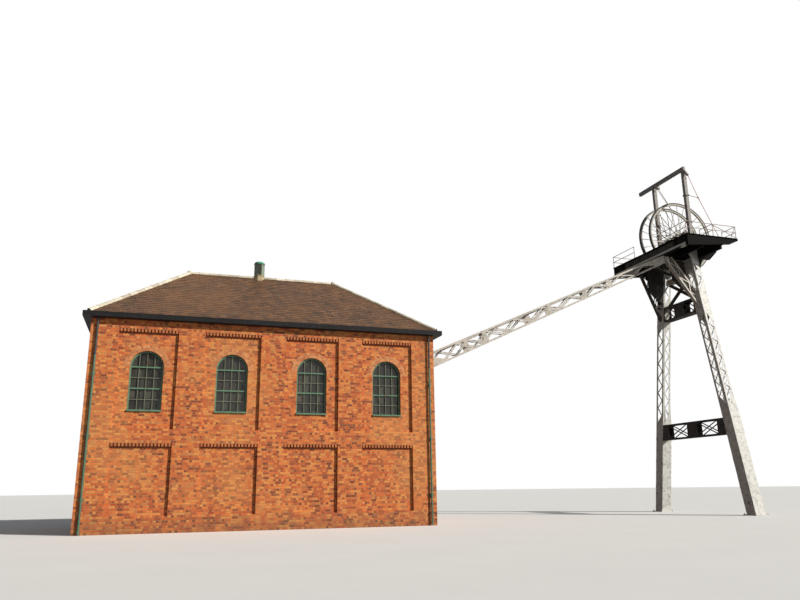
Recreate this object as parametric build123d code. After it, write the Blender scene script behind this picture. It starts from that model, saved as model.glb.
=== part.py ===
from build123d import *
import os
from math import atan2, cos, degrees, hypot, radians, sin

# Winding engine house of brick, and the steel headgear that rakes back to it.
# X runs along the long front, Y into the depth, Z up, all from the house's front left corner
# until the last lines, which move everything to the middle of the whole plan.

# House walls
house_length = 14000
house_depth = 8400
wall_height = 8000
wall_thickness = 460
bay_count = 4
bay_pitch = 3240
panel_width = 2220
panel_depth = 115
plinth_height = 600
lower_panel_top = 3260
upper_panel_bottom = 3790
upper_panel_margin = 360
end_panel_margin = 100
rope_slot_margin = 600
rope_slot_height = 900
rope_slot_width = 300
floor_top = 3500
floor_thickness = 200

# Windows
window_width = 1250
sill_height = 4460
spring_height = 6180
frame_setback = 230
frame_depth = 90
frame_width = 60
transom_height = 5350
transom_width = 50
glass_thickness = 6
glass_lap = 20
glass_head_sides = 12
sill_thickness = 60
sill_projection = 70

# Roof
eaves_overhang = 180
eaves_rise = 180
roof_rise = 3080
ridge_inset = 3600
slope_thickness = 120
crest_radius = 95
gutter_height = 200
gutter_width = 130
gutter_wall = 12
vent_width = 480
vent_rise = 740
vent_offset = -210
vent_cap = 60
vent_cap_overhang = 50
downpipe_radius = 50
downpipe_inset = 250
downpipe_gap = 40
clip_heights = (1200, 3500, 5800)
clip_height = 60
clip_half_width = 90

# Legs of the headgear
portal_gap = 16900
leg_size = 600
lattice_width = 500
leg_base_outer = 330
head_half_depth = 1475
leg_top_height = 14050
casing_top = 5000
casing_taper = 1200
near_lattice_bottom = 5600
far_lattice_bottom = 5050
head_plate_drop = 3350
head_plate_length = 1300
lattice_margin = 350
plate = 16
leg_angle = 110
angle_bar = 90
lacing_width = 60
lacing_pitch = 435
foot_plate = 860
foot_thickness = 40
anchor_spacing = 740
anchor_radius = 18
gusset_reach = 800
gusset_drop = 550
gusset_rise = 600
gusset_lip = 80
bracket_reach = 800
bracket_drop = 700
inner_gusset_reach = 1180
inner_gusset_drop = 2000
inner_gusset_side = 1250
inner_gusset_lap = 50

# Cross members between the legs
low_girder_bottom = 4030
low_girder_depth = 880
low_girder_width = 360
low_girder_end = 550
head_girder_drop = 2300
head_girder_depth = 850
head_girder_end = 90
girder_middle = 800
top_tie_drop = 700
top_tie_depth = 300
top_tie_width = 300
brace_width = 180
brace_thickness = 90
brace_inset = 150

# Head platform
deck_left_reach = 2080
deck_right_reach = 1350
leg_beam_tip = 250
deck_overhang = 1925
beam_depth = 650
beam_width = 120
beam_flange = 20
beam_web = 16
deck_thickness = 10
deck_plate_seat = 20
taper_start = 550
taper_depth = 370
tip_depth = 130
bearer_width = 200
outrigger_offset = 1080

# Knee braces from the legs to the platform's left edge
knee_drop = 3050
knee_depth = 520
knee_width = 200
knee_pitch = 480

# Handrails
rail_height = 720
rail_size = 40
rail_inset = 50
rail_return = 1000
rail_lean = 350

# Sheaves and their bearings
sheave_radius = 2135
sheave_rise = 950
sheave_spacing = 900
rim_width = 150
rim_depth = 150
rim_taper = 0.6
groove_depth = 85
spoke_count = 24
spoke_size = 44
spoke_root = 60
spoke_tip = 30
hub_radius = 240
hub_width = 300
shaft_radius = 80
shaft_clearance = 0.05
shaft_end = 40
bearing_width = 150
bearing_gap = 60
bearing_cap = 200
bearing_foot = 420
bearing_foot_height = 80

# Lifting gantry over the sheaves
gantry_rise = 4100
gantry_beam_depth = 230
gantry_beam_width = 150
post_size = 200
post_foot = 300
post_foot_thickness = 20
collar_size = 260
collar_height = 90
collar_rises = (650, 2300)
post_inset = 125
gantry_overhang = 1400
stub_reach = 240
stub_drop = 550
stub_size = 110

# Stay of the gantry's near post
stay_rod = 20
spreader_reach = 950
spreader_drop = 540
stay_foot_offset = 150
stay_foot_inset = 90

# Chain hoist
hoist_inset = 340
hoist_body = 220
hoist_drop = 260
chain_size = 26
chain_spread = 110
hook_dip = 175
hook_side = 50
hook_size = 110

# Raking backstays from the head down to the house's end wall
stay_depth = 750
stay_head_depth = 430
stay_width = 360
stay_pitch = 880
stay_wall_drop = 570
shoe_depth = 180
shoe_margin = 80
shoe_lift = 60
shoe_drop = 200
stay_tie_count = 5

upper_panel_top = wall_height - upper_panel_margin
rope_slot_top = wall_height - rope_slot_margin
rope_slot_bottom = rope_slot_top - rope_slot_height
end_panel_top = rope_slot_bottom - end_panel_margin
eaves_height = wall_height + eaves_rise
ridge_height = eaves_height + roof_rise
vent_top = ridge_height + vent_rise
vent_x = house_length / 2 + vent_offset
house_middle = house_depth / 2
portal_x = house_length + portal_gap
portal_right = portal_x + leg_size
head_axis = portal_x + leg_size / 2
lattice_left = portal_x
lattice_right = lattice_left + lattice_width
gutter_out = eaves_overhang + gutter_width
full_left = -gutter_out
full_right = head_axis + sheave_radius
shift = Vector(-(full_left + full_right) / 2, -house_middle, 0)

leg_top_outer = house_middle - head_half_depth
leg_slope = (leg_top_outer - leg_base_outer) / leg_top_height
leg_lean = degrees(atan2(leg_slope, 1))
leg_across = leg_size / cos(radians(leg_lean))
leg_stretch = 1 / cos(radians(leg_lean))
head_plate_bottom = leg_top_height - head_plate_drop
head_plate_top = head_plate_bottom + head_plate_length
lattice_top = leg_top_height - lattice_margin
low_girder_top = low_girder_bottom + low_girder_depth
head_girder_top = leg_top_height - head_girder_drop
head_girder_bottom = head_girder_top - head_girder_depth
top_tie_top = leg_top_height - top_tie_drop
top_tie_bottom = top_tie_top - top_tie_depth
knee_foot = leg_top_height - knee_drop
deck_left = head_axis - deck_left_reach
deck_right = head_axis + deck_right_reach
deck_front = leg_top_outer - deck_overhang
outrigger_left = deck_left + outrigger_offset
stay_wall_top = wall_height - stay_wall_drop
stay_y = leg_top_outer + leg_across / 2
stay_end = deck_left + beam_width / 2
stay_tan = (leg_top_height - stay_wall_top) / (deck_left - house_length)
stay_slope = degrees(atan2(stay_tan, 1))
deck_level = leg_top_height + beam_depth
deck_top = deck_level + deck_thickness
sheave_height = deck_level + sheave_rise
gantry_height = sheave_height + gantry_rise
gantry_near = leg_top_outer + post_inset
collar_heights = [sheave_height + rise for rise in collar_rises]
hoist_y = house_depth - gantry_near - hoist_inset
hook_y = house_middle + hook_side
hook_z = sheave_height + sheave_radius - hook_dip
deck_rear = house_depth - deck_front
leg_beam_y = leg_top_outer + beam_width / 2
near_sheave_y = house_middle - sheave_spacing / 2
inner_bearing_y = house_middle - bearing_gap / 2 - bearing_width / 2
outer_bearing_y = leg_top_outer + leg_across - bearing_width / 2
middle_bearer_width = 2 * bearing_width + bearing_gap


def block(x0, x1, y0, y1, z0, z1):
    """A box between two corners."""
    size = (x1 - x0, y1 - y0, z1 - z0)
    return Pos((x0 + x1) / 2, (y0 + y1) / 2, (z0 + z1) / 2) * Box(*size)


def bar(start, end, width, thickness, across):
    """A straight flat bar; its width lies square to the line and to the direction across."""
    a, b, across = Vector(*start), Vector(*end), Vector(*across)
    line = b - a
    plane = Plane(origin=(a + b) * 0.5, x_dir=line.normalized(), z_dir=across)
    return plane * Box(line.length, width, thickness)


def rod(start, end, radius):
    """A round rod between two points."""
    a, b = Vector(*start), Vector(*end)
    return Plane(origin=a, z_dir=(b - a)) * Cylinder(
        radius, (b - a).length, align=(Align.CENTER, Align.CENTER, Align.MIN)
    )


def faceted_rod(start, end, radius, sides):
    """A rod with a few flat sides between two points."""
    a, b = Vector(*start), Vector(*end)
    section = Plane(origin=a, z_dir=(b - a)) * RegularPolygon(radius, sides)
    return extrude(section, amount=(b - a).length)


def square_bar(start, end, size):
    """A square bar that runs along X, along Y, upright or raking in the XZ or YZ plane."""
    line = Vector(*end) - Vector(*start)
    across = (1, 0, 0) if abs(line.X) < 1 else (0, 1, 0)
    return bar(start, end, size, size, across)


def joined(pieces):
    """One solid from pieces that meet."""
    pieces = list(pieces)
    return pieces[0].fuse(*pieces[1:]).clean()


def arch(width, bottom, spring, depth):
    """A round-headed prism standing in XZ, its front face on y = 0."""
    half = width / 2
    outline = (
        Polyline((-half, spring), (-half, bottom), (half, bottom), (half, spring))
        + ThreePointArc((half, spring), (0, spring + half), (-half, spring))
    )
    return extrude(Plane.XZ * make_face(outline), amount=-depth)


def bay_middles():
    """The x places of the bays along the house."""
    first = house_length / 2 - bay_pitch * (bay_count - 1) / 2
    return [first + bay_pitch * i for i in range(bay_count)]


def mirrored_to_rear(shape):
    """The same piece on the opposite long side of the house."""
    return mirror(shape, Plane.XZ.offset(-house_middle))


# Front and rear walls: two rows of sunk panels, a round-headed window in each upper one
def long_wall():
    wall = block(0, house_length, 0, wall_thickness, 0, wall_height)
    cuts = []
    for x in bay_middles():
        left, right = x - panel_width / 2, x + panel_width / 2
        cuts.append(block(left, right, 0, panel_depth, plinth_height, lower_panel_top))
        cuts.append(block(left, right, 0, panel_depth, upper_panel_bottom, upper_panel_top))
        cuts.append(Pos(x, 0, 0) * arch(window_width, sill_height, spring_height, wall_thickness))
    return wall.cut(*cuts)


# End walls stand between the long ones, with two blind bays each
def end_wall(rope_slots):
    inner = house_depth - 2 * wall_thickness
    wall = block(0, wall_thickness, wall_thickness, wall_thickness + inner, 0, wall_height)
    cuts = []
    for side in (-1, 1):
        y = house_middle + side * bay_pitch / 2
        near, far = y - panel_width / 2, y + panel_width / 2
        cuts.append(block(0, panel_depth, near, far, plinth_height, lower_panel_top))
        cuts.append(block(0, panel_depth, near, far, upper_panel_bottom, end_panel_top))
        if rope_slots:
            middle = house_middle + side * sheave_spacing / 2
            slot_near, slot_far = middle - rope_slot_width / 2, middle + rope_slot_width / 2
            cuts.append(block(0, wall_thickness, slot_near, slot_far, rope_slot_bottom, rope_slot_top))
    return wall.cut(*cuts)


# A window: outer frame, two transoms, a projecting sill, and one sheet of glass behind the bars
def window_frame():
    frame = arch(window_width, sill_height, spring_height, frame_depth)
    hole = arch(window_width - 2 * frame_width, sill_height + frame_width, spring_height, frame_depth)
    frame = frame.cut(hole)
    half = window_width / 2 - frame_width
    pieces = [frame]
    for z in (transom_height, spring_height):
        pieces.append(
            block(-half, half, 0, frame_depth, z - transom_width / 2, z + transom_width / 2)
        )
    sill = block(
        -window_width / 2,
        window_width / 2,
        panel_depth - sill_projection - frame_setback,
        0,
        sill_height,
        sill_height + sill_thickness,
    )
    pieces.append(sill)
    return Pos(0, frame_setback, 0) * joined(pieces)


def window_glass():
    """A sheet with a faceted head, laid against the back of the frame."""
    radius = window_width / 2 - frame_width + glass_lap
    turns = [radians(180 / glass_head_sides * i) for i in range(glass_head_sides + 1)]
    head = [(radius * cos(turn), spring_height + radius * sin(turn)) for turn in turns]
    low = sill_height + frame_width - glass_lap
    outline = Polyline(*head, (-radius, low), (radius, low), close=True)
    sheet = extrude(Plane.XZ * make_face(outline), amount=-glass_thickness)
    return Pos(0, frame_setback + frame_depth, 0) * sheet


# Hipped roof: corner points of the outer surface
def roof_points(drop=0):
    out = eaves_overhang
    low, high = eaves_height - drop, ridge_height - drop
    return {
        "front_left": Vector(-out, -out, low),
        "front_right": Vector(house_length + out, -out, low),
        "rear_left": Vector(-out, house_depth + out, low),
        "rear_right": Vector(house_length + out, house_depth + out, low),
        "ridge_left": Vector(ridge_inset, house_middle, high),
        "ridge_right": Vector(house_length - ridge_inset, house_middle, high),
    }


roof_faces = {
    "roof_front_slope": ("front_left", "front_right", "ridge_right", "ridge_left"),
    "roof_rear_slope": ("rear_right", "rear_left", "ridge_left", "ridge_right"),
    "roof_left_hip": ("rear_left", "front_left", "ridge_left"),
    "roof_right_hip": ("front_right", "rear_right", "ridge_right"),
}


def roof_face(name, drop=0):
    points = roof_points(drop)
    return Face(Wire.make_polygon([points[p] for p in roof_faces[name]]))


def roof_slope(name):
    return extrude(roof_face(name), amount=slope_thickness, dir=(0, 0, -1))


def roof_body(drop=0):
    """The solid wedge under the slopes, lowered by drop."""
    points = roof_points(drop)
    base = ("front_left", "rear_left", "rear_right", "front_right")
    bottom = Face(Wire.make_polygon([points[p] for p in base]))
    faces = [roof_face(name, drop) for name in roof_faces] + [bottom]
    return Solid(Shell(faces))


def crest():
    """Ridge and hip tiles as one run of eight-sided capping."""
    p = roof_points()
    lines = [
        ("ridge_left", "ridge_right"),
        ("front_left", "ridge_left"),
        ("rear_left", "ridge_left"),
        ("front_right", "ridge_right"),
        ("rear_right", "ridge_right"),
    ]
    rods = [faceted_rod(p[a], p[b], crest_radius, 8) for a, b in lines]
    caps = joined(rods).cut(roof_body())
    keep = block(
        -eaves_overhang, house_length + eaves_overhang,
        -eaves_overhang, house_depth + eaves_overhang,
        eaves_height, ridge_height + 3 * crest_radius,
    )
    return caps & keep


def ring(outer, inner, bottom, top):
    """A level frame around the house, given its outer and inner distance from the wall face."""
    big = block(-outer, house_length + outer, -outer, house_depth + outer, bottom, top)
    small = block(-inner, house_length + inner, -inner, house_depth + inner, bottom, top)
    return big.cut(small)


def eaves_fascia():
    frame = ring(eaves_overhang, -wall_thickness, wall_height, ridge_height)
    return frame & roof_body(slope_thickness).fuse(
        block(-eaves_overhang, house_length + eaves_overhang, -eaves_overhang,
              house_depth + eaves_overhang, wall_height, eaves_height - slope_thickness)
    )


def eaves_gutter():
    top = wall_height + gutter_height
    outer = ring(gutter_out, eaves_overhang, wall_height, top)
    trough = ring(gutter_out - gutter_wall, eaves_overhang + gutter_wall, wall_height + gutter_wall, top)
    return outer.cut(trough)


def ridge_ventilator():
    half = vent_width / 2
    box = block(vent_x - half, vent_x + half, house_middle - half, house_middle + half,
                ridge_height - 2 * half, vent_top - vent_cap)
    over = half + vent_cap_overhang
    cap = block(vent_x - over, vent_x + over, house_middle - over, house_middle + over,
                vent_top - vent_cap, vent_top)
    return box.fuse(cap).cut(roof_body()).cut(crest())


def downpipe(x):
    y = -downpipe_gap - downpipe_radius
    pieces = [faceted_rod((x, y, 0), (x, y, wall_height), downpipe_radius, 8)]
    for z in clip_heights:
        pieces.append(block(x - clip_half_width, x + clip_half_width, -downpipe_gap, 0, z, z + clip_height))
        neck = downpipe_radius / 2
        pieces.append(block(x - neck, x + neck, y, -downpipe_gap, z, z + clip_height))
    return joined(pieces)


# Steel lattice members
def zigzag_holes(half_at, reach, pitch, start, stop):
    """Prisms along Y that cut a plate into zigzag lacing; half_at gives the half width at a height."""
    count = max(2, round((stop - start) / pitch))
    step = (stop - start) / count
    holes = []
    for i in range(1, count):
        side = 1 if i % 2 else -1
        z = start + i * step
        slope = step / (2 * half_at(z))
        lift = lacing_width / 2 * hypot(1, slope)
        low, high = z - step + lift, z + step - lift
        points = [
            (-side * half_at(low), low),
            (-side * half_at(high), high),
            (side * (half_at(z) - lift / slope), z),
        ]
        face = Plane.XZ * make_face(Polyline(*points, close=True))
        holes.append(extrude(face, amount=reach, both=True))
    return holes


def laced_tube(width, depth, length, pitch, zones):
    """A box of thin plates standing on z = 0, all four sides laced within the given zones."""
    tube = Pos(0, 0, length / 2) * (
        Box(width, depth, length) - Box(width - 2 * plate, depth - 2 * plate, length)
    )
    holes = []
    for start, stop in zones:
        holes += zigzag_holes(lambda z: width / 2 - angle_bar, depth, pitch, start, stop)
        side = zigzag_holes(lambda z: depth / 2 - angle_bar, width, pitch, start, stop)
        holes += [Rot(0, 0, 90) * hole for hole in side]
    return tube.cut(*holes)


def leg_outer(z):
    """The y place of the near leg's outer face at a height."""
    return leg_base_outer + z * leg_slope


def leg_inner(z):
    """The y place of the near leg's inner face at a height."""
    return leg_outer(z) + leg_across


def top_gusset():
    """Flared plate on the leg's outer face, up over the web of the beam above."""
    low, high = leg_top_height - gusset_drop, leg_top_height + gusset_rise
    left, corner = lattice_left - gusset_reach, (lattice_left, low)
    turn = (lattice_left - gusset_reach * 0.24, high - gusset_lip - (high - gusset_lip - low) * 0.24)
    outline = (
        Polyline(corner, (lattice_right, low), (lattice_right, high), (left, high), (left, high - gusset_lip))
        + ThreePointArc((left, high - gusset_lip), turn, corner)
    )
    return Pos(0, leg_top_outer, 0) * extrude(Plane.XZ * make_face(outline), amount=plate)


def outer_bracket():
    """Curved plate from the leg's outer face out under the front of the platform."""
    low, high = leg_top_height - bracket_drop, leg_top_height
    tip = leg_top_outer - bracket_reach
    foot = (leg_outer(low) + plate / 2, low)
    turn = (tip + bracket_reach * 0.62, high - gusset_lip - bracket_drop * 0.3)
    outline = (
        Polyline(foot, (leg_top_outer, high), (tip, high), (tip, high - gusset_lip))
        + ThreePointArc((tip, high - gusset_lip), turn, foot)
    )
    return Pos(lattice_right - plate, 0, 0) * extrude(Plane.YZ * make_face(outline), amount=plate)


def inner_gusset():
    """Plate on the leg's inner face that reaches out under the platform, in the leg's own upright frame."""
    high, low = leg_top_height * leg_stretch, (leg_top_height - inner_gusset_drop) * leg_stretch
    right = inner_gusset_lap - leg_size / 2
    left = right - inner_gusset_reach
    side = high - inner_gusset_side
    turn = (left + inner_gusset_reach * 0.35, side - (side - low) * 0.6)
    outline = (
        Polyline((right, low), (right, high), (left, high), (left, side))
        + ThreePointArc((left, side), turn, (right, low))
    )
    face = Plane.XZ.offset(-leg_size / 2) * make_face(outline)
    return extrude(face, amount=-plate)


def leg_shell(inset, top):
    """Solid of the leg inside its plates: wide in the casing, narrowing on the outer side above it."""
    low, high = casing_top * leg_stretch, (casing_top + casing_taper) * leg_stretch
    left, right = inset - leg_size / 2, leg_size / 2 - inset
    narrow = right + lattice_width - leg_size
    outline = Polyline(
        (left, -leg_size), (right, -leg_size), (right, low), (narrow, high), (narrow, top), (left, top),
        close=True,
    )
    return extrude(Plane.XZ * make_face(outline), amount=leg_size / 2 - inset, both=True)


def leg(lattice_bottom):
    """Near leg: cased foot, open lattice above, plated again where the head girder joins."""
    top = leg_top_height * leg_stretch + leg_size
    post = leg_shell(0, top).cut(leg_shell(plate, top))
    zones = [
        (lattice_bottom * leg_stretch, head_plate_bottom * leg_stretch),
        (head_plate_top * leg_stretch, lattice_top * leg_stretch),
    ]
    holes = []
    for start, stop in zones:
        face = zigzag_holes(lambda s: lattice_width / 2 - leg_angle, leg_size, lacing_pitch, start, stop)
        side = zigzag_holes(lambda s: leg_size / 2 - leg_angle, leg_size, lacing_pitch, start, stop)
        holes += [Pos((lattice_width - leg_size) / 2, 0, 0) * hole for hole in face]
        holes += [Rot(0, 0, 90) * hole for hole in side]
    post = joined([post.cut(*holes), inner_gusset()])
    middle = leg_base_outer + leg_across / 2
    post = Pos(head_axis, middle, 0) * Rot(-leg_lean, 0, 0) * post
    post = post & block(deck_left, portal_right, 0, house_middle, foot_thickness, leg_top_height)
    half = foot_plate / 2
    foot = block(head_axis - half, head_axis + half, middle - half, middle + half, 0, foot_thickness)
    cap = block(lattice_left, lattice_right, leg_top_outer, leg_inner(leg_top_height),
                leg_top_height - plate, leg_top_height)
    reach = anchor_spacing / 2
    anchors = [
        Pos(head_axis + sx * reach, middle + sy * reach, foot_thickness / 2)
        * Cylinder(anchor_radius, foot_thickness)
        for sx in (-1, 1)
        for sy in (-1, 1)
    ]
    return joined([post, foot, cap, top_gusset(), outer_bracket()]).cut(*anchors)


def between_legs(bottom, top):
    """A wedge of space between the two legs over a range of heights."""
    points = [
        (leg_inner(bottom), bottom),
        (house_depth - leg_inner(bottom), bottom),
        (house_depth - leg_inner(top), top),
        (leg_inner(top), top),
    ]
    face = Plane.YZ * make_face(Polyline(*points, close=True))
    return extrude(Pos(portal_x, 0, 0) * face, amount=leg_size)


def crossed_holes(y0, y1, z0, z1):
    """The four triangles left open by two crossed bars in a panel, pushed along X."""
    a, b = (y1 - y0) / 2, (z1 - z0) / 2
    diagonal = hypot(a, b)
    side, rise = lacing_width / 2 * diagonal / b, lacing_width / 2 * diagonal / a
    corners = [
        [(0, rise), (a - side, b), (side - a, b)],
        [(side, 0), (a, b - rise), (a, rise - b)],
    ]
    holes = []
    for points in corners:
        for sign in (-1, 1):
            turned = [(sign * y, sign * z) for y, z in points]
            face = Plane.YZ * make_face(Polyline(*turned, close=True))
            holes.append(Pos(portal_x, (y0 + y1) / 2, (z0 + z1) / 2) * extrude(face, amount=leg_size))
    return holes


def cross_girder(x0, x1, bottom, top, end_length):
    """A box girder between the legs: solid ends and middle, two crossed panels between."""
    near = leg_inner((bottom + top) / 2)
    far = house_depth - near
    reach = leg_size
    shell = block(x0, x1, near - reach, far + reach, bottom, top).cut(
        block(x0 + plate, x1 - plate, near - reach, far + reach, bottom + plate, top - plate)
    )
    panel = (far - near - girder_middle) / 2 - end_length
    holes = []
    for start in (near + end_length, far - end_length - panel):
        holes += crossed_holes(start, start + panel, bottom + angle_bar, top - angle_bar)
    return shell.cut(*holes) & between_legs(bottom, top)


def top_tie():
    """Plain box tie between the leg tops, under the wheels."""
    x0, x1 = head_axis - top_tie_width / 2, head_axis + top_tie_width / 2
    tie = block(x0, x1, 0, house_depth, top_tie_bottom, top_tie_top)
    return tie & between_legs(top_tie_bottom, top_tie_top)


def head_brace(side):
    """One flat diagonal of the head frame, between the head girder and the top tie."""
    z0, z1 = head_girder_top, top_tie_bottom
    y0, y1 = leg_inner(z0) + brace_inset, house_depth - leg_inner(z1) - brace_inset
    if side > 0:
        y0, y1 = house_depth - y0, house_depth - y1
    x = head_axis - side * brace_thickness / 2
    run = Vector(0, y1 - y0, z1 - z0).normalized() * brace_width
    start, end = (x, y0 - run.Y, z0 - run.Z), (x, y1 + run.Y, z1 + run.Z)
    brace = bar(start, end, brace_width, brace_thickness, (1, 0, 0))
    return brace & between_legs(z0, z1)


def knee_brace():
    """Laced knee from the near leg's face out to the platform's left edge girder."""
    foot_x, foot_z = -leg_size / 2, knee_foot * leg_stretch
    top_x, top_z = stay_end - head_axis, leg_top_height * leg_stretch
    turn = degrees(atan2(top_x - foot_x, top_z - foot_z))
    run = hypot(top_x - foot_x, top_z - foot_z)
    length = run + 4 * knee_depth
    brace = laced_tube(knee_depth, knee_width, length, knee_pitch, [(2 * knee_depth, 2 * knee_depth + run)])
    brace = Pos(knee_depth / 2, 0, 0) * brace
    brace = Pos(foot_x, 0, foot_z) * Rot(0, turn, 0) * Pos(0, 0, -2 * knee_depth) * brace
    middle = leg_base_outer + leg_across / 2
    brace = Pos(head_axis, middle, 0) * Rot(-leg_lean, 0, 0) * brace
    inside = block(stay_end, lattice_left, 0, house_middle, head_girder_bottom - knee_depth, leg_top_height)
    return brace & inside


# Platform: an edge girder along Y on the left, beams along X that taper to tips on the right
def tapered_joist(y, width, tip, tapered):
    """A flanged beam along X, from the edge girder to its tip."""
    def side_face(inset, amount):
        low, high = leg_top_height + inset, deck_level - inset
        lift = taper_depth if tapered else beam_depth
        points = [
            (deck_left + beam_width / 2, low),
            (tip - taper_start, max(low, deck_level - lift + inset)),
            (tip - inset, deck_level - tip_depth + inset),
            (tip - inset, high),
            (deck_left + beam_width / 2, high),
        ]
        return extrude(Plane.XZ * make_face(Polyline(*points, close=True)), amount=amount)

    side = (width - beam_web) / 2
    solid = Pos(0, y + width / 2, 0) * side_face(0, width)
    near = Pos(0, y - width / 2 + side, 0) * side_face(beam_flange, side)
    far = Pos(0, y + width / 2, 0) * side_face(beam_flange, side)
    return solid.cut(near, far)


def edge_girder():
    """Flanged girder along the platform's left edge."""
    x0, x1 = deck_left, deck_left + beam_width
    low, high = leg_top_height, deck_level
    web_side = (beam_width - beam_web) / 2
    whole = block(x0, x1, deck_front, deck_rear, low, high)
    left = block(x0, x0 + web_side, deck_front, deck_rear, low + beam_flange, high - beam_flange)
    right = block(x1 - web_side, x1, deck_front, deck_rear, low + beam_flange, high - beam_flange)
    return whole.cut(left, right)


def deck_frame():
    low, high = leg_top_height, deck_level
    pieces = [edge_girder()]
    front_y = deck_front + beam_width / 2
    pieces.append(tapered_joist(front_y, beam_width, deck_right, True))
    pieces.append(tapered_joist(house_depth - front_y, beam_width, deck_right, True))
    for y in (leg_beam_y, house_depth - leg_beam_y):
        pieces.append(tapered_joist(y, beam_width, deck_right + leg_beam_tip, False))
    for y in (outer_bearing_y, house_depth - outer_bearing_y):
        pieces.append(tapered_joist(y, bearer_width, deck_right, False))
    pieces.append(tapered_joist(house_middle, middle_bearer_width, deck_right, False))
    half_tie = top_tie_width / 2
    pieces.append(block(head_axis - half_tie, head_axis + half_tie, house_middle - half_tie,
                        house_middle + half_tie, top_tie_top, low + beam_flange))
    front, rear = deck_front + beam_width / 2, leg_top_outer - plate
    for x in (outrigger_left, portal_right - beam_width / 2):
        outrigger = block(x - beam_width / 2, x + beam_width / 2, front, rear, low, high)
        taper = tapered_joist(front_y, beam_width, deck_right, True)
        keep = block(x - beam_width, x + beam_width, front_y, rear, low, high)
        under = leg_top_height + (beam_depth - taper_depth) * (x - deck_left) / (deck_right - deck_left)
        keep = keep.cut(block(x - beam_width, x + beam_width, front, deck_front + beam_width, low, under))
        pieces += [outrigger & keep, mirrored_to_rear(outrigger & keep)]
    return joined(pieces)


def deck_plate():
    """Near floor plate, from the deck's front edge to the first bearer."""
    return block(deck_left, deck_right, deck_front, outer_bearing_y - bearing_width / 2 - deck_plate_seat,
                 deck_level, deck_top)


def hand_rail():
    """Rails round the near floor plate, with returns along Y and raking braces in front."""
    x0, x1 = deck_left + rail_inset, deck_right - rail_inset
    xm = portal_x + rail_inset
    y0 = deck_front + rail_inset
    y1, y2 = y0 + rail_return, outer_bearing_y - bearing_width / 2 - deck_plate_seat - rail_inset
    top, middle = deck_top + rail_height, deck_top + rail_height / 2
    pieces = []
    for x, y in ((x0, y0), (xm, y0), (x1, y0), (x0, y2), (xm, y1), (x1, y1)):
        pieces.append(square_bar((x, y, deck_top), (x, y, top), rail_size))
    for z in (middle, top - rail_size / 2):
        pieces.append(square_bar((x0, y0, z), (x1, y0, z), rail_size))
        pieces.append(square_bar((x0, y0, z), (x0, y2, z), rail_size))
        pieces.append(square_bar((xm, y0, z), (xm, y1, z), rail_size))
        pieces.append(square_bar((x1, y0, z), (x1, y1, z), rail_size))
    pieces.append(square_bar((xm, y0, top - rail_size), (x1, y0, deck_top + rail_size), rail_size))
    strut_foot = (x1 - rail_lean, y0, deck_top + rail_size)
    pieces.append(square_bar((x1, y0, top - rail_size), strut_foot, rail_size))
    foot = block(x1 - rail_lean - rail_size, x1 - rail_lean + rail_size, y0 - rail_size / 2,
                 y0 + rail_size / 2, deck_top, deck_top + rail_size)
    return joined(pieces + [foot])


def bearing(y):
    """Plummer block on a splayed pedestal, bored for the sheave's shaft."""
    half, low = bearing_width / 2, deck_level
    rise = low + bearing_foot_height
    outline = Polyline(
        (-bearing_foot, low), (bearing_foot, low), (bearing_foot, rise),
        (bearing_cap, sheave_height), (-bearing_cap, sheave_height), (-bearing_foot, rise),
        close=True,
    )
    pedestal = extrude(Plane.XZ * make_face(outline), amount=half, both=True)
    level = Pos(0, 0, sheave_height) * Rot(90, 0, 0)
    cap = level * Cylinder(bearing_cap, bearing_width)
    hole = level * Cylinder(shaft_radius + shaft_clearance, bearing_width)
    return Pos(head_axis, y, 0) * joined([pedestal, cap]).cut(hole)


def sheave(y, shaft_from, shaft_to):
    """Grooved rim, two cones of thin spokes, hub and shaft."""
    r = sheave_radius
    half, inner = rim_width / 2, r - rim_depth
    profile = Polyline(
        (inner, -half * rim_taper),
        (r, -half),
        (r - groove_depth, 0),
        (r, half),
        (inner, half * rim_taper),
        close=True,
    )
    rim = revolve(Plane.XZ * make_face(profile), Axis.Z)
    hub = Cylinder(hub_radius, hub_width)
    lean = hub_width / 2 - spoke_size
    spokes = []
    for i in range(spoke_count):
        side = lean if i % 2 else -lean
        root = (hub_radius - spoke_root, 0, side)
        tip = (inner + spoke_tip, 0, 0)
        spoke = bar(root, tip, spoke_size, spoke_size, (0, 1, 0))
        spokes.append(Rot(0, 0, 360 / spoke_count * i) * spoke)
    wheel = Pos(head_axis, y, sheave_height) * Rot(90, 0, 0) * joined([rim, hub] + spokes)
    shaft = rod((head_axis, shaft_from, sheave_height), (head_axis, shaft_to, sheave_height), shaft_radius)
    return joined([wheel, shaft])


def gantry():
    """Two posts with collars and one beam that runs on past the far post, with a stub for the stay."""
    near, far = gantry_near, house_depth - gantry_near
    half, foot, collar = post_size / 2, post_foot / 2, collar_size / 2
    under = gantry_height - gantry_beam_depth
    pieces = []
    for y in (near, far):
        pieces.append(block(head_axis - half, head_axis + half, y - half, y + half, deck_top, under))
        pieces.append(block(head_axis - foot, head_axis + foot, y - foot, y + foot, deck_top,
                            deck_top + post_foot_thickness))
        for z in collar_heights:
            pieces.append(block(head_axis - collar, head_axis + collar, y - collar, y + collar,
                                z - collar_height / 2, z + collar_height / 2))
    side = gantry_beam_width / 2
    pieces.append(block(head_axis - side, head_axis + side, near - half, far + gantry_overhang,
                        under, gantry_height))
    root = (head_axis, near, gantry_height - stub_size)
    pieces.append(square_bar(root, (head_axis, near - half - stub_reach, root[2] - stub_drop), stub_size))
    return joined(pieces)


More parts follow.
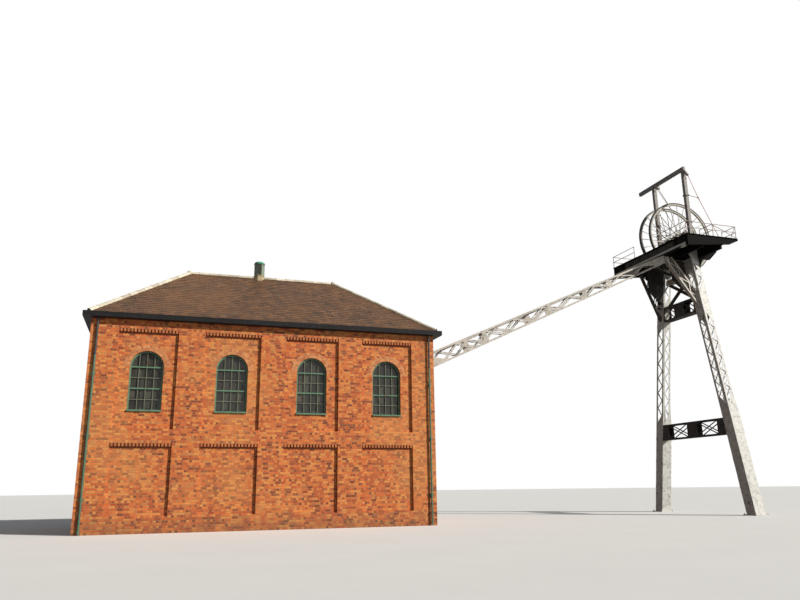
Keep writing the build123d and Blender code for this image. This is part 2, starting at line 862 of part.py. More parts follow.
def hoist():
    """Chain block under the gantry beam; its two falls slant down to a hook between the wheels."""
    half = hoist_body / 2
    top = gantry_height - gantry_beam_depth
    body = block(head_axis - half, head_axis + half, hoist_y - half, hoist_y + half, top - hoist_drop, top)
    pieces = [chamfer(body.edges().filter_by(Axis.Y), half / 2)]
    for side in (-1, 1):
        start = (head_axis, hoist_y + side * chain_spread / 2, top - hoist_drop / 2)
        pieces.append(square_bar(start, (head_axis, hook_y, hook_z), chain_size))
    half = hook_size / 2
    pieces.append(block(head_axis - half, head_axis + half, hook_y - half, hook_y + half,
                        hook_z - hook_size, hook_z + half))
    return joined(pieces)


def backstay(y):
    """Raking laced girder, deepest at the house, with its top chord just under the edge girder."""
    slope = radians(stay_slope)
    run = (stay_end - house_length) / cos(slope)
    spare = stay_depth

    def depth_at(s):
        return stay_depth + (stay_head_depth - stay_depth) * s / run

    def solid(inset):
        points = [
            (inset, -spare), (depth_at(-spare) - inset, -spare),
            (depth_at(run + spare) - inset, run + spare), (inset, run + spare),
        ]
        face = Plane.XZ * make_face(Polyline(*points, close=True))
        return extrude(face, amount=stay_width / 2 - inset, both=True)

    start, stop = stay_depth, run - stay_depth
    side_holes = []
    count = round((stop - start) / stay_pitch)
    step = (stop - start) / count
    for i in range(1, count):
        s = start + i * step
        inner, outer = angle_bar, depth_at(s) - angle_bar
        rise = step / (outer - inner)
        lift = lacing_width / 2 * hypot(1, rise)
        base, tip = (inner, outer - lift / rise) if i % 2 else (outer, inner + lift / rise)
        near_base = base if i % 2 else depth_at(s - step) - angle_bar
        far_base = base if i % 2 else depth_at(s + step) - angle_bar
        points = [(near_base, s - step + lift), (far_base, s + step - lift), (tip, s)]
        face = Plane.XZ * make_face(Polyline(*points, close=True))
        side_holes.append(extrude(face, amount=stay_width, both=True))
    flat_holes = zigzag_holes(lambda s: stay_width / 2 - angle_bar, 2 * stay_depth, stay_pitch, start, stop)
    girder = solid(0).cut(solid(plate)).cut(*side_holes, *[Rot(0, 0, 90) * hole for hole in flat_holes])
    girder = Pos(house_length, y, stay_wall_top) * Rot(0, 90 - stay_slope, 0) * girder
    inside = block(house_length + shoe_depth, stay_end, y - stay_width, y + stay_width, 0, leg_top_height)
    return girder & inside


def stay_shoe(y):
    """Bearing casting between the wall's face and the foot of a backstay."""
    top = stay_wall_top + shoe_depth * stay_tan + shoe_lift
    low = top - stay_depth / cos(radians(stay_slope)) - shoe_drop
    half = stay_width / 2 + shoe_margin
    return block(house_length, house_length + shoe_depth, y - half, y + half, low, top)


def stay_ties():
    """Cross bars between the two backstays, along their top and bottom chords."""
    slope = radians(stay_slope)
    near = stay_y + stay_width / 2
    far = house_depth - near
    half = angle_bar / 2
    run = (stay_end - house_length) / cos(slope)
    pieces = []
    for i in range(1, stay_tie_count + 1):
        s = run * i / (stay_tie_count + 1)
        depth = stay_depth + (stay_head_depth - stay_depth) * s / run
        for drop in (half, depth - half):
            tie = Pos(drop, 0, s) * block(-half, half, near - stay_y, far - stay_y, -half, half)
            pieces.append(Pos(house_length, stay_y, stay_wall_top) * Rot(0, 90 - stay_slope, 0) * tie)
    return pieces


def gantry_post_stay():
    """Taut rod from the stub out over its spreader and down to the deck's front edge."""
    face = gantry_near - post_size / 2
    level = collar_heights[1]
    top = (head_axis, face - stub_reach, gantry_height - stub_size - stub_drop)
    knee = (head_axis, gantry_near - spreader_reach, level - spreader_drop)
    foot = (head_axis + stay_foot_offset, deck_front + stay_foot_inset, deck_top)
    root = (head_axis, face, level)
    knot = Pos(*knee) * Box(2 * stay_rod, 2 * stay_rod, 2 * stay_rod)
    lines = [faceted_rod(a, b, stay_rod, 6) for a, b in ((top, knee), (knee, foot), (knee, root))]
    return joined(lines + [knot]).cut(gantry(), deck_plate())


# All pieces by node name
nodes = {}
nodes["front_wall"] = long_wall()
nodes["rear_wall"] = mirrored_to_rear(long_wall())
nodes["left_end_wall"] = end_wall(False)
nodes["right_end_wall"] = mirror(end_wall(True), Plane.YZ.offset(house_length / 2))
nodes["engine_floor"] = block(
    wall_thickness, house_length - wall_thickness,
    wall_thickness, house_depth - wall_thickness,
    floor_top - floor_thickness, floor_top,
)
for name in roof_faces:
    nodes[name] = roof_slope(name)
nodes["ridge_and_hip_tiles"] = crest()
nodes["eaves_fascia"] = eaves_fascia()
nodes["eaves_gutter"] = eaves_gutter()
nodes["ridge_ventilator"] = ridge_ventilator()
for name, x in (("left", downpipe_inset), ("right", house_length - downpipe_inset)):
    pipe = downpipe(x)
    nodes[f"downpipe_front_{name}"] = pipe
    nodes[f"downpipe_rear_{name}"] = mirrored_to_rear(pipe)
for number, x in enumerate(bay_middles(), 1):
    frame = Pos(x, 0, 0) * window_frame()
    nodes[f"front_window_{number}"] = frame
    nodes[f"rear_window_{number}"] = mirrored_to_rear(frame)
panes = [Pos(x, 0, 0) * window_glass() for x in bay_middles()]
nodes["front_glass"] = Compound(children=panes)
nodes["rear_glass"] = Compound(children=[mirrored_to_rear(p) for p in panes])

nodes["near_leg"] = leg(near_lattice_bottom)
nodes["far_leg"] = mirrored_to_rear(leg(far_lattice_bottom))
nodes["low_cross_girder"] = cross_girder(
    portal_x, portal_x + low_girder_width, low_girder_bottom, low_girder_top, low_girder_end
)
nodes["head_girder"] = cross_girder(
    lattice_left, lattice_right, head_girder_bottom, head_girder_top, head_girder_end
)
nodes["top_tie"] = top_tie()
nodes["head_brace_left"] = head_brace(1)
nodes["head_brace_right"] = head_brace(-1)
nodes["near_knee_brace"] = knee_brace()
nodes["deck_frame"] = deck_frame()
nodes["near_deck_plate"] = deck_plate()
nodes["near_handrail"] = hand_rail()
for name, y in (("outer", outer_bearing_y), ("inner", inner_bearing_y)):
    nodes[f"near_{name}_bearing"] = bearing(y)
nodes["near_sheave"] = sheave(
    near_sheave_y, outer_bearing_y - bearing_width / 2 - shaft_end, inner_bearing_y + bearing_width / 2
)
nodes["lifting_gantry"] = gantry()
nodes["chain_hoist"] = hoist()
nodes["gantry_stay"] = gantry_post_stay()
nodes["near_backstay"] = backstay(stay_y)
nodes["near_stay_shoe"] = stay_shoe(stay_y)
for name in ("knee_brace", "deck_plate", "handrail", "outer_bearing", "inner_bearing", "sheave",
             "backstay", "stay_shoe"):
    nodes[f"far_{name}"] = mirrored_to_rear(nodes[f"near_{name}"])
nodes["backstay_ties"] = Compound(children=stay_ties())

os.makedirs("parts", exist_ok=True)
for name, shape in nodes.items():
    export_step(Pos(shift) * shape, f"parts/{name}.step")
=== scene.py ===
import logging
import math
from dataclasses import dataclass, field, replace
from enum import Enum
from itertools import product
from typing import Sequence

import bmesh
import bpy
import numpy as np
from mathutils import Matrix, Vector


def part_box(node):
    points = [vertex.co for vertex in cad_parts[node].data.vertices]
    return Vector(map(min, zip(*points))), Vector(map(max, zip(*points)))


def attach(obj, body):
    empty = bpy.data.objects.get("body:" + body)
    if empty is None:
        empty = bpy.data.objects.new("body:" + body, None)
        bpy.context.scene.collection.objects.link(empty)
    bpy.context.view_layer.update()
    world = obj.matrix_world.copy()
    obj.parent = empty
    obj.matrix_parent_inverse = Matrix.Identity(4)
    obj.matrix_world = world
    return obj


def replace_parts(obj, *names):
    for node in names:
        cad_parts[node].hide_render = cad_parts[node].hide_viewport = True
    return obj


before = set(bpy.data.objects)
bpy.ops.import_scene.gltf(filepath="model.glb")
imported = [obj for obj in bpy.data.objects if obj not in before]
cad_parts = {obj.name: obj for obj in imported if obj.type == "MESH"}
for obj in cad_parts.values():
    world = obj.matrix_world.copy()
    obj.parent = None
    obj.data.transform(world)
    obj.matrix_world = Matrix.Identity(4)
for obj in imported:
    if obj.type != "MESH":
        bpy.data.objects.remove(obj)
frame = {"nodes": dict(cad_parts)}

log = logging.getLogger("winding_engine")
ORIGIN = np.array(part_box("front_wall")[0])
UP = np.array([0.0, 0.0, 1.0])
HOUSE_DEPTH = 8.4
SIGNS = (-1, 1)
CUBE_SIGNS = np.array([[x, y, z] for z in SIGNS for y in SIGNS for x in SIGNS], float)
CUBE_FACES = np.array([[0, 2, 3, 1], [4, 5, 7, 6], [0, 1, 5, 4], [2, 6, 7, 3], [0, 4, 6, 2], [1, 3, 7, 5]])
RIVET_SIDES = 6

Material = bpy.types.Material
Colour = tuple[float, float, float]
Surface = tuple[np.ndarray, Sequence]


def dress(node: str, material: Material) -> None:
    """Gives a carried-over node one finish.

    Args:
        node: the node's name.
        material: its finish.
    """
    piece = frame["nodes"][node]
    piece.data.materials.clear()
    piece.data.materials.append(material)


# Meshes, in metres from the house's front left corner on the ground

def unit(vectors: np.ndarray) -> np.ndarray:
    """Vectors, one or a row of each, brought to length 1."""
    return vectors / np.linalg.norm(vectors, axis=-1, keepdims=True)


def circle(sides: int, first: np.ndarray, second: np.ndarray, start: float = 0.0) -> np.ndarray:
    """Directions round an axis: cos a times first plus sin a times second.

    Args:
        sides: number of directions in a full turn.
        first: unit vector square to the axis, or one for each row.
        second: unit vector square to both.
        start: angle of the first direction.

    Returns:
        One direction per side, in a further dimension before x, y and z.
    """
    turn = np.linspace(0, 2 * np.pi, sides, endpoint=False)[:, None] + start
    return np.cos(turn) * first[..., None, :] + np.sin(turn) * second[..., None, :]


def wrap(rows: int, sides: int, closed: bool = False) -> list[list[int]]:
    """Faces of a grid of points whose rows are rings: a quad between each two neighbours.

    Args:
        rows: number of rings.
        sides: points in each ring.
        closed: whether the last ring joins the first; if not, both get an end face.

    Returns:
        Point numbers of each face.
    """
    row, side = np.arange(rows if closed else rows - 1)[:, None], np.arange(sides)
    here, there, beside = row * sides, (row + 1) % rows * sides, (side + 1) % sides
    quads = np.stack([here + side, here + beside, there + beside, there + side], -1).reshape(-1, 4).tolist()
    ends = [list(range(sides))[::-1], list(range((rows - 1) * sides, rows * sides))]
    return quads if closed else quads + ends


def box_faces(count: int) -> np.ndarray:
    """Faces of boxes whose eight corners follow one another."""
    return (CUBE_FACES + 8 * np.arange(count)[:, None, None]).reshape(-1, 4)


def aligned(width: float, depth: float, height: float) -> np.ndarray:
    """Half axes of a box that lies along X, Y and Z."""
    return np.diag([width / 2, depth / 2, height / 2])


def lathe(profile: Sequence, centre: Sequence[float], axis: Sequence[float] = UP, sides: int = 24,
          closed: bool = False, start: float = 0.0) -> Surface:
    """Solid of revolution: point = centre + h axis + r (cos a first + sin a second).

    Args:
        profile: rows of radius and height along the axis, from one end to the other.
        centre: where height 0 lies.
        axis: unit vector of the line it turns round.
        sides: number of faces round it.
        closed: whether the profile's last row joins its first.
        start: angle of the first side.

    Returns:
        The points and the faces.
    """
    axis, rows = np.asarray(axis, float), np.asarray(profile, float)
    first = unit(np.cross(UP if abs(axis[2]) < 0.9 else [1.0, 0.0, 0.0], axis))
    out = circle(sides, first, np.cross(axis, first), start)
    points = np.asarray(centre) + rows[:, 1, None, None] * axis + rows[:, 0, None, None] * out
    return points.reshape(-1, 3), wrap(len(rows), sides, closed)


@dataclass
class Mesh:
    """Points, faces and tones gathered from several parts before they become one piece."""

    points: list[np.ndarray] = field(default_factory=list)
    faces: list[list[int]] = field(default_factory=list)
    tints: list[float] = field(default_factory=list)
    count: int = 0

    def add(self, points: np.ndarray, faces: Sequence, tint: float | np.ndarray = 0.5) -> None:
        """Adds one part.

        Args:
            points: rows of x, y and z.
            faces: point numbers, counted from the part's own first point, outward side anticlockwise.
            tint: tone from 0 to 1, one for all or one for each face.
        """
        self.points.append(np.asarray(points, float).reshape(-1, 3))
        self.faces.extend([int(i) + self.count for i in row] for row in faces)
        self.tints.extend(np.broadcast_to(np.asarray(tint, float), (len(faces),)).tolist())
        self.count += len(self.points[-1])

    def blocks(self, centres: np.ndarray, axes: np.ndarray, tint: float | np.ndarray = 0.5) -> None:
        """Boxes in any direction: corner = centre + sum of sign times half axis, for all eight signs.

        Args:
            centres: one row per box.
            axes: the three half axes, the same for all.
            tint: tone, one for all or one for each face.
        """
        centres, axes = np.asarray(centres, float).reshape(-1, 1, 3), np.array(axes, float)
        axes[0] *= np.sign(np.linalg.det(axes))
        self.add(centres + CUBE_SIGNS @ axes, box_faces(len(centres)), tint)

    def tube(self, path: Sequence, radii: float | Sequence[float], sides: int = 10) -> None:
        """Round tube with closed ends: point = path + radius (cos a side + sin a up).

        Args:
            path: points of the centre line.
            radii: one radius, or one for each point.
            sides: number of faces round it.
        """
        path = np.asarray(path, float)
        step = unit(np.gradient(path, axis=0))
        side = unit(np.cross(np.where(np.abs(step[:, 2:]) > 0.95, [1.0, 0.0, 0.0], UP), step))
        radius = np.broadcast_to(np.asarray(radii, float), (len(path),))[:, None, None]
        self.add(path[:, None] + radius * circle(sides, side, np.cross(step, side)), wrap(len(path), sides))

    def rivets(self, places: np.ndarray, outward: Sequence[float], radius: float) -> None:
        """Low domes: a foot ring, a narrower ring above it, closed by one flat face.

        Args:
            places: rivet centres on the plate.
            outward: unit vector away from the plate.
            radius: radius of the foot ring.
        """
        places, out = np.asarray(places, float).reshape(-1, 1, 1, 3), np.asarray(outward, float)
        side = unit(np.cross([1.0, 0.0, 0.0] if abs(out[2]) > 0.9 else UP, out))
        ring = circle(RIVET_SIDES, side, np.cross(out, side))
        dome = np.stack([radius * ring - 0.002 * out, 0.55 * radius * (ring + out)])
        shape = [face for number, face in enumerate(wrap(2, RIVET_SIDES)) if number != RIVET_SIDES]
        starts = 2 * RIVET_SIDES * np.arange(len(places))
        self.add(places + dome, [[start + i for i in face] for start in starts for face in shape])

    def build(self, name: str, material: Material, slot: str, body: str = "structure", smooth: bool = False,
              far: bool = False) -> bpy.types.Object:
        """Makes one object at the origin from all that was added, and lets it ride on a body.

        Args:
            name: the object's name.
            material: its finish.
            slot: a material slot name; not used.
            body: the body that it rides on.
            smooth: whether faces are shaded smooth.
            far: whether it is mirrored to the far side of the house's long middle line.

        Returns:
            The object, with each face's tone in its mesh's attribute "tint".
        """
        points, faces = np.concatenate(self.points), self.faces
        if far:
            points, faces = points * [1, -1, 1] + [0, HOUSE_DEPTH, 0], [face[::-1] for face in faces]
        mesh = bpy.data.meshes.new(name)
        mesh.from_pydata((points + ORIGIN).tolist(), [], faces)
        mesh.attributes.new("tint", "FLOAT", "FACE").data.foreach_set("value", np.array(self.tints, np.float32))
        mesh.polygons.foreach_set("use_smooth", np.full(len(faces), smooth))
        mesh.update()
        piece = bpy.data.objects.new(name, mesh)
        bpy.context.scene.collection.objects.link(piece)
        piece.data.materials.append(material)
        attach(piece, body)
        return piece

    def build_pair(self, name: str, near: Material, far: Material, slot: str) -> list[bpy.types.Object]:
        """The near piece and its mirrored far one, each named with its side first."""
        return [self.build(f"near_{name}", near, slot), self.build(f"far_{name}", far, slot, far=True)]


def turn_outward(piece: bpy.types.Object) -> None:
    """Makes all faces of a piece's closed parts face outward.

    Args:
        piece: the object.
    """
    work = bmesh.new()
    work.from_mesh(piece.data)
    bmesh.ops.recalc_face_normals(work, faces=work.faces)
    work.to_mesh(piece.data)
    work.free()


# Finishes

class Value:
    """A result in a node tree; sums, products and comparisons lay Math nodes."""

    def __init__(self, nodes: "Nodes", socket: bpy.types.NodeSocket) -> None:
        """Keeps the socket and the tree that it belongs to."""
        self.nodes, self.socket = nodes, socket

    def __add__(self, other: object) -> "Value":
        """This plus another."""
        return self.nodes.math("ADD", self, other)

    def __sub__(self, other: object) -> "Value":
        """This less another."""
        return self.nodes.math("SUBTRACT", self, other)

    def __rsub__(self, other: float) -> "Value":
        """A number less this."""
        return self.nodes.math("SUBTRACT", other, self)

    def __mul__(self, other: object) -> "Value":
        """This times another."""
        return self.nodes.math("MULTIPLY", self, other)

    def __truediv__(self, other: object) -> "Value":
        """This over another."""
        return self.nodes.math("DIVIDE", self, other)

    def __gt__(self, other: object) -> "Value":
        """1 where this is greater, else 0."""
        return self.nodes.math("GREATER_THAN", self, other)

    def __lt__(self, other: object) -> "Value":
        """1 where this is less, else 0."""
        return self.nodes.math("LESS_THAN", self, other)

    def step(self, low: float, high: float) -> "Value":
        """0 below low, 1 above high, smooth between."""
        return self.nodes.node("MapRange", {"Value": self, "From Min": low, "From Max": high},
                               interpolation_type="SMOOTHSTEP")


class Nodes:
    """A short way to lay out the nodes of a material or of the world."""

    def __init__(self, owner: Material | bpy.types.World) -> None:
        """Takes the owner's tree, its shader if it has one, and object coordinates.

        Args:
            owner: the material or world.
        """
        self.owner = owner
        owner.use_nodes = True
        self.tree = owner.node_tree
        self.shader = self.tree.nodes.get("Principled BSDF")
        self.place = self.node("TexCoord", output="Object")

    def join(self, value: object, socket: bpy.types.NodeSocket) -> None:
        """Links a result to an input, or sets the input to a number or a colour.

        Args:
            value: the result, number or colour.
            socket: the input.
        """
        if isinstance(value, Value):
            self.tree.links.new(value.socket, socket)
        else:
            socket.default_value = (*value, 1.0) if socket.type == "RGBA" else value

    def node(self, kind: str, inputs: dict | None = None, output: int | str = 0, **settings) -> Value | None:
        """Adds a node.

        Args:
            kind: the node's type, without the first word that all share.
            inputs: what its inputs are set or linked to, by name or number.
            output: which result is wanted.
            settings: its options.

        Returns:
            The result, or None where the node has none.
        """
        made = self.tree.nodes.new("ShaderNode" + kind)
        for key, value in settings.items():
            setattr(made, key, value)
        for key, value in (inputs or {}).items():
            self.join(value, made.inputs[key])
        return Value(self, made.outputs[output]) if made.outputs else None

    def math(self, operation: str, a: object, b: object = 0.0) -> Value:
        """A Math node's result."""
        return self.node("Math", {0: a, 1: b}, operation=operation)

    def parts(self, vector: Value) -> list[Value]:
        """The x, y and z of a vector."""
        return [self.node("SeparateXYZ", {0: vector}, axis) for axis in "XYZ"]

    def noise(self, scale: float, detail: float = 3.0, rough: float = 0.5, stretch: Colour | None = None) -> Value:
        """Noise from 0 to 1 on object coordinates, which may be scaled along each axis first.

        Args:
            scale: cells in a metre.
            detail: number of finer layers.
            rough: strength of the finer layers.
            stretch: scale along each axis.

        Returns:
            The noise.
        """
        place = self.node("Mapping", {"Vector": self.place, "Scale": stretch}) if stretch else self.place
        inputs = {"Vector": place, "Scale": scale, "Detail": detail, "Roughness": rough}
        return self.node("TexNoise", inputs, "Fac")

    def tint(self) -> Value:
        """Each face's tone."""
        return self.node("Attribute", output="Fac", attribute_name="tint")

    def ramp(self, value: Value, stops: Sequence[tuple[float, Colour]]) -> Value:
        """A colour from a value through stops.

        Args:
            value: from 0 to 1.
            stops: places and their colours.

        Returns:
            The colour.
        """
        made = self.node("ValToRGB", {"Fac": value})
        band = made.socket.node.color_ramp
        for _ in range(len(stops) - len(band.elements)):
            band.elements.new(0.5)
        for element, (place, colour) in zip(band.elements, stops):
            element.position, element.color = place, (*colour, 1.0)
        return made

    def mix(self, share: object, a: object, b: object) -> Value:
        """Colour a where the share is 0, b where it is 1."""
        return self.node("Mix", {0: share, 6: a, 7: b}, 2, data_type="RGBA")

    def seen(self) -> Value:
        """1 where the camera sees a place, straight or by way of a gloss or a pane."""
        rays = [self.node("LightPath", output=f"Is {kind} Ray") for kind in ("Camera", "Glossy", "Transmission")]
        return self.math("MAXIMUM", self.math("MAXIMUM", rays[0], rays[1]), rays[2])

    def finish(self, colour: Value, rough: Value | float, height: Value | None = None, depth: float = 0.002,
               strength: float = 0.6, gloss: float = 0.5) -> Material:
        """Joins the results to the shader.

        Args:
            colour: base colour.
            rough: roughness.
            height: relief from 0 to 1, if there is one.
            depth: the relief's depth in metres.
            strength: how much the relief turns the light.
            gloss: the shader's specular level.

        Returns:
            The material.
        """
        self.shader.inputs["Specular IOR Level"].default_value = gloss
        self.join(colour, self.shader.inputs["Base Color"])
        self.join(rough, self.shader.inputs["Roughness"])
        if height is not None:
            bump = self.node("Bump", {"Height": height, "Distance": depth, "Strength": strength})
            self.join(bump, self.shader.inputs["Normal"])
        return self.owner


@dataclass(frozen=True)
class Finish:
    """A named material."""

    name: str

    def build(self) -> Material:
        """Makes the material and lays its nodes."""
        return self.lay(Nodes(bpy.data.materials.new(self.name)))

    def lay(self, n: Nodes) -> Material:
        """Lays the nodes, in each finish its own."""
        raise NotImplementedError


@dataclass(frozen=True)
class Brickwork(Finish):
    """Fired brick in English bond: a course of headers, then a course of stretchers."""

    name: str = "brick_english_bond"
    course: float = 0.091
    header: float = 0.108
    joint: float = 0.006
    soot_from: float = 6.4
    soot_to: float = 8.1

    def lay(self, n: Nodes) -> Material:
        """Row = floor of height over course; odd rows have bricks twice as long, each brick has its own tone.

        Args:
            n: the material's nodes.

        Returns:
            The material.
        """
        x, y, z = n.parts(n.place)
        facing = n.parts(n.node("NewGeometry", output="Normal"))[0]
        sideways = n.math("ABSOLUTE", facing) > 0.6
        run = n.node("Mix", {0: sideways, 2: x, 3: y})
        rows = z / self.course
        row = n.math("FLOOR", rows)
        odd = n.math("MODULO", row, 2.0)
        width = odd * self.header + self.header
        columns = (run + n.math("FLOOR", row / 2.0) * 0.02) / width + odd * 0.25
        brick = n.node("CombineXYZ", {0: n.math("FLOOR", columns), 1: row, 2: sideways})
        own = n.node("TexWhiteNoise", {"Vector": brick}, "Value", noise_dimensions="3D")
        share, part = n.math("FRACT", columns), n.math("FRACT", rows)
        from_end = n.math("MINIMUM", share, 1.0 - share) * width
        from_bed = n.math("MINIMUM", part, 1.0 - part) * self.course
        edge = (n.noise(40.0, 2.0) - 0.5) * 0.008 + n.math("MINIMUM", from_end, from_bed)
        face = edge.step(self.joint - 0.002, self.joint + 0.003)

        tone = n.ramp(own, [
            (0.0, (0.19, 0.042, 0.016)), (0.18, (0.44, 0.082, 0.020)), (0.45, (0.64, 0.130, 0.026)),
            (0.72, (0.76, 0.205, 0.040)), (0.9, (0.79, 0.30, 0.070)), (1.0, (0.47, 0.14, 0.046))])
        tone = n.mix(n.noise(0.42, 4.0, 0.6).step(0.46, 0.66) * 0.30, tone, (0.80, 0.36, 0.10))
        burnt = n.noise(1.4, 3.0, 0.65, (1.0, 1.0, 2.2)).step(0.60, 0.76)
        tone = n.mix(burnt * 0.42, tone, (0.21, 0.075, 0.045))
        grain = n.noise(70.0, 3.0, 0.7)
        tone = n.mix(grain.step(0.35, 0.75), tone, n.mix(0.3, tone, (0.12, 0.04, 0.025)))
        colour = n.mix(face, n.mix(n.noise(5.0, 2.0), (0.27, 0.16, 0.080), (0.44, 0.27, 0.13)), tone)
        streak = n.noise(1.0, 4.0, 0.6, (2.6, 2.6, 0.22)).step(0.52, 0.76)
        colour = n.mix(streak * z.step(self.soot_from, self.soot_to) * 0.55, colour, (0.085, 0.05, 0.035))
        foot = (1.0 - z.step(0.0, 0.9)) * n.noise(3.0, 3.0)
        colour = n.mix(foot * 0.7, colour, (0.11, 0.08, 0.045))
        return n.finish(colour, grain * 0.12 + 0.82, grain * 0.22 + face, 0.006, 0.75)


@dataclass(frozen=True)
class SingleBrick(Finish):
    """Brick of a piece modelled brick by brick, each with its own tone."""

    light: Colour
    dark: Colour

    def lay(self, n: Nodes) -> Material:
        """Tone runs from dark to light, mottled by two noises.

        Args:
            n: the material's nodes.

        Returns:
            The material.
        """
        tone = n.mix(n.tint(), self.dark, self.light)
        blotch = n.noise(24.0, 3.0, 0.6).step(0.42, 0.72)
        tone = n.mix(blotch * 0.45, tone, n.mix(0.55, tone, (0.16, 0.06, 0.03)))
        grain = n.noise(90.0, 2.0, 0.7)
        return n.finish(tone, grain * 0.1 + 0.82, grain, 0.003, 0.5)


@dataclass(frozen=True)
class Slating(Finish):
    """Riven slates, each a little different, with lichen spots and run-off stains."""

    name: str = "riven_slate"

    def lay(self, n: Nodes) -> Material:
        """Own tone, cleft noise along the slope, pale lichen where a cell noise is small.

        Args:
            n: the material's nodes.

        Returns:
            The material.
        """
        tone = n.ramp(n.tint(), [(0.0, (0.060, 0.031, 0.015)), (0.35, (0.104, 0.051, 0.024)),
                                 (0.65, (0.146, 0.070, 0.031)), (0.88, (0.192, 0.090, 0.038)),
                                 (1.0, (0.118, 0.080, 0.046))])
        cleft = n.noise(9.0, 5.0, 0.65, (1.0, 1.6, 1.6))
        tone = n.mix(cleft.step(0.4, 0.7), tone, n.mix(0.4, tone, (0.045, 0.028, 0.020)))
        tone = n.mix(n.noise(0.35, 3.0, 0.6).step(0.44, 0.68) * 0.35, tone, (0.215, 0.102, 0.043))
        cells = n.node("TexVoronoi", {"Vector": n.place, "Scale": 7.0}, "Distance")
        lichen = (1.0 - cells.step(0.10, 0.22)) * n.noise(1.1, 2.0).step(0.50, 0.64)
        tone = n.mix(lichen * 0.55, tone, (0.42, 0.39, 0.29))
        return n.finish(tone, cleft * 0.25 + 0.5, cleft, 0.006, 0.5, 0.3)


@dataclass(frozen=True)
class Clay(Finish):
    """Pale fired clay of ridge and hip tiles, with lichen."""

    name: str = "ridge_clay"

    def lay(self, n: Nodes) -> Material:
        """Cream clay, greyed by a slow noise, spotted with lichen by a fine one.

        Args:
            n: the material's nodes.

        Returns:
            The material.
        """
        tone = n.mix(n.tint(), (0.46, 0.40, 0.31), (0.74, 0.68, 0.55))
        tone = n.mix(n.noise(3.0, 4.0, 0.65).step(0.48, 0.70) * 0.5, tone, (0.27, 0.23, 0.19))
        fine = n.noise(45.0, 3.0, 0.65)
        tone = n.mix(fine.step(0.58, 0.7) * 0.5, tone, (0.40, 0.38, 0.22))
        return n.finish(tone, 0.8, fine, 0.003, 0.4)


class Wear(Enum):
    """How far a painted metal has weathered: share of rust, of streaks and of grime."""

    KEPT = (0.06, 0.10, 0.25)
    WORN = (0.20, 0.35, 0.45)
    RUSTED = (0.48, 0.55, 0.60)


@dataclass(frozen=True)
class Paint(Finish):
    """Painted metal with rust that breaks through and runs down."""

    colour: Colour
    wear: Wear = Wear.WORN
    rust: Colour = (0.16, 0.060, 0.024)
    rough: float = 0.5
    grime: Colour = (0.055, 0.048, 0.042)
    gloss: float = 0.2

    def coat(self, n: Nodes) -> Value:
        """The paint before it weathers, a little lighter where a slow noise is high."""
        return n.mix(n.noise(0.9, 3.0), self.colour, tuple(min(1.0, c * 1.12 + 0.008) for c in self.colour))

    def lay(self, n: Nodes) -> Material:
        """Rust where a mottled noise passes a level set by the wear; streaks are a noise drawn out in height.

        Args:
            n: the material's nodes.

        Returns:
            The material.
        """
        coat = self.coat(n)
        share, streaks, dirt = self.wear.value
        fine = n.noise(26.0, 4.0, 0.65)
        level = 0.70 - 0.30 * share
        rusted = ((fine - 0.5) * 0.22 + n.noise(2.6, 6.0, 0.68)).step(level - 0.015, level + 0.05)
        runs = n.noise(2.2, 4.0, 0.6, (3.6, 3.6, 0.28)).step(0.56, 0.74)
        dull = n.mix(n.noise(5.5, 5.0, 0.7).step(0.42, 0.72) * dirt, coat, self.grime)
        stained = n.mix(runs * streaks, dull, n.mix(0.5, coat, self.rust))
        deep = n.mix(fine, tuple(c * 0.45 for c in self.rust), tuple(min(1.0, c * 1.25) for c in self.rust))
        rough = (fine - 0.5) * 0.12 + (rusted * (0.9 - self.rough) + self.rough)
        return n.finish(n.mix(rusted, stained, deep), rough, rusted * 0.6 + fine * 0.5, 0.003, 0.45, self.gloss)


@dataclass(frozen=True)
class GirderShadeAndHighlight(Paint):
    """Near-black painted shade with a thin pale line of painted highlight, where the lower flange catches light, on the
    girder at the platform's left edge, and a grey web painted lighter than the shade.
    """

    # pale is the painted highlight's colour; web is the web's painted grey
    pale: Colour = (0.90, 0.88, 0.82)
    web: Colour = (0.11, 0.105, 0.10)
    right: float = 12.75
    line: tuple[float, float] = (14.160, 14.285)
    web_top: float = 14.60
    line_end: float = 3.20
    drop_start: float = 2.80
    web_end: float = 2.2

    def coat(self, n: Nodes) -> Value:
        """The painted highlight line drops to the girder's foot near both ends; the web above it is a painted grey,
        lighter than the shade around it, between them.

        Args:
            n: the material's nodes.

        Returns:
            The paint's colour.
        """
        x, y, z = n.parts(n.place)
        across, left, low = n.math("ABSOLUTE", y), x < self.right, z < self.line[1]
        above = n.math("MAXIMUM", z > self.line[0], across > self.drop_start)
        web = (z < self.web_top) * (across < self.web_end) * (1.0 - low)
        coat = n.mix(left * web, super().coat(n), self.web)
        return n.mix(left * (low * above * (across < self.line_end)), coat, self.pale)


@dataclass(frozen=True)
class LegPaintAndShade(Paint):
    """Pale paint with black painted shade at the head, on the inner gusset plates and the outer brackets, where the
    deck and the leg shade them.
    """

    # black is the colour of the painted shade on the head's plates
    black: Colour = (0.035, 0.032, 0.03)
    left: float = 14.355
    inner: float = 3.57
    outside: float = 3.92
    lean: float = 0.1705
    low: float = 11.6

    def coat(self, n: Nodes) -> Value:
        """Black painted shade where a place, carried down the lean to the ground, lies outside the leg or beside its
        inner half.

        Args:
            n: the material's nodes.

        Returns:
            The paint's colour.
        """
        x, y, z = n.parts(n.place)
        foot = z * self.lean + n.math("ABSOLUTE", y)
        plates = n.math("MAXIMUM", (foot < self.inner) * (x < self.left), foot > self.outside)
        return n.mix(plates * (z > self.low), super().coat(n), self.black)


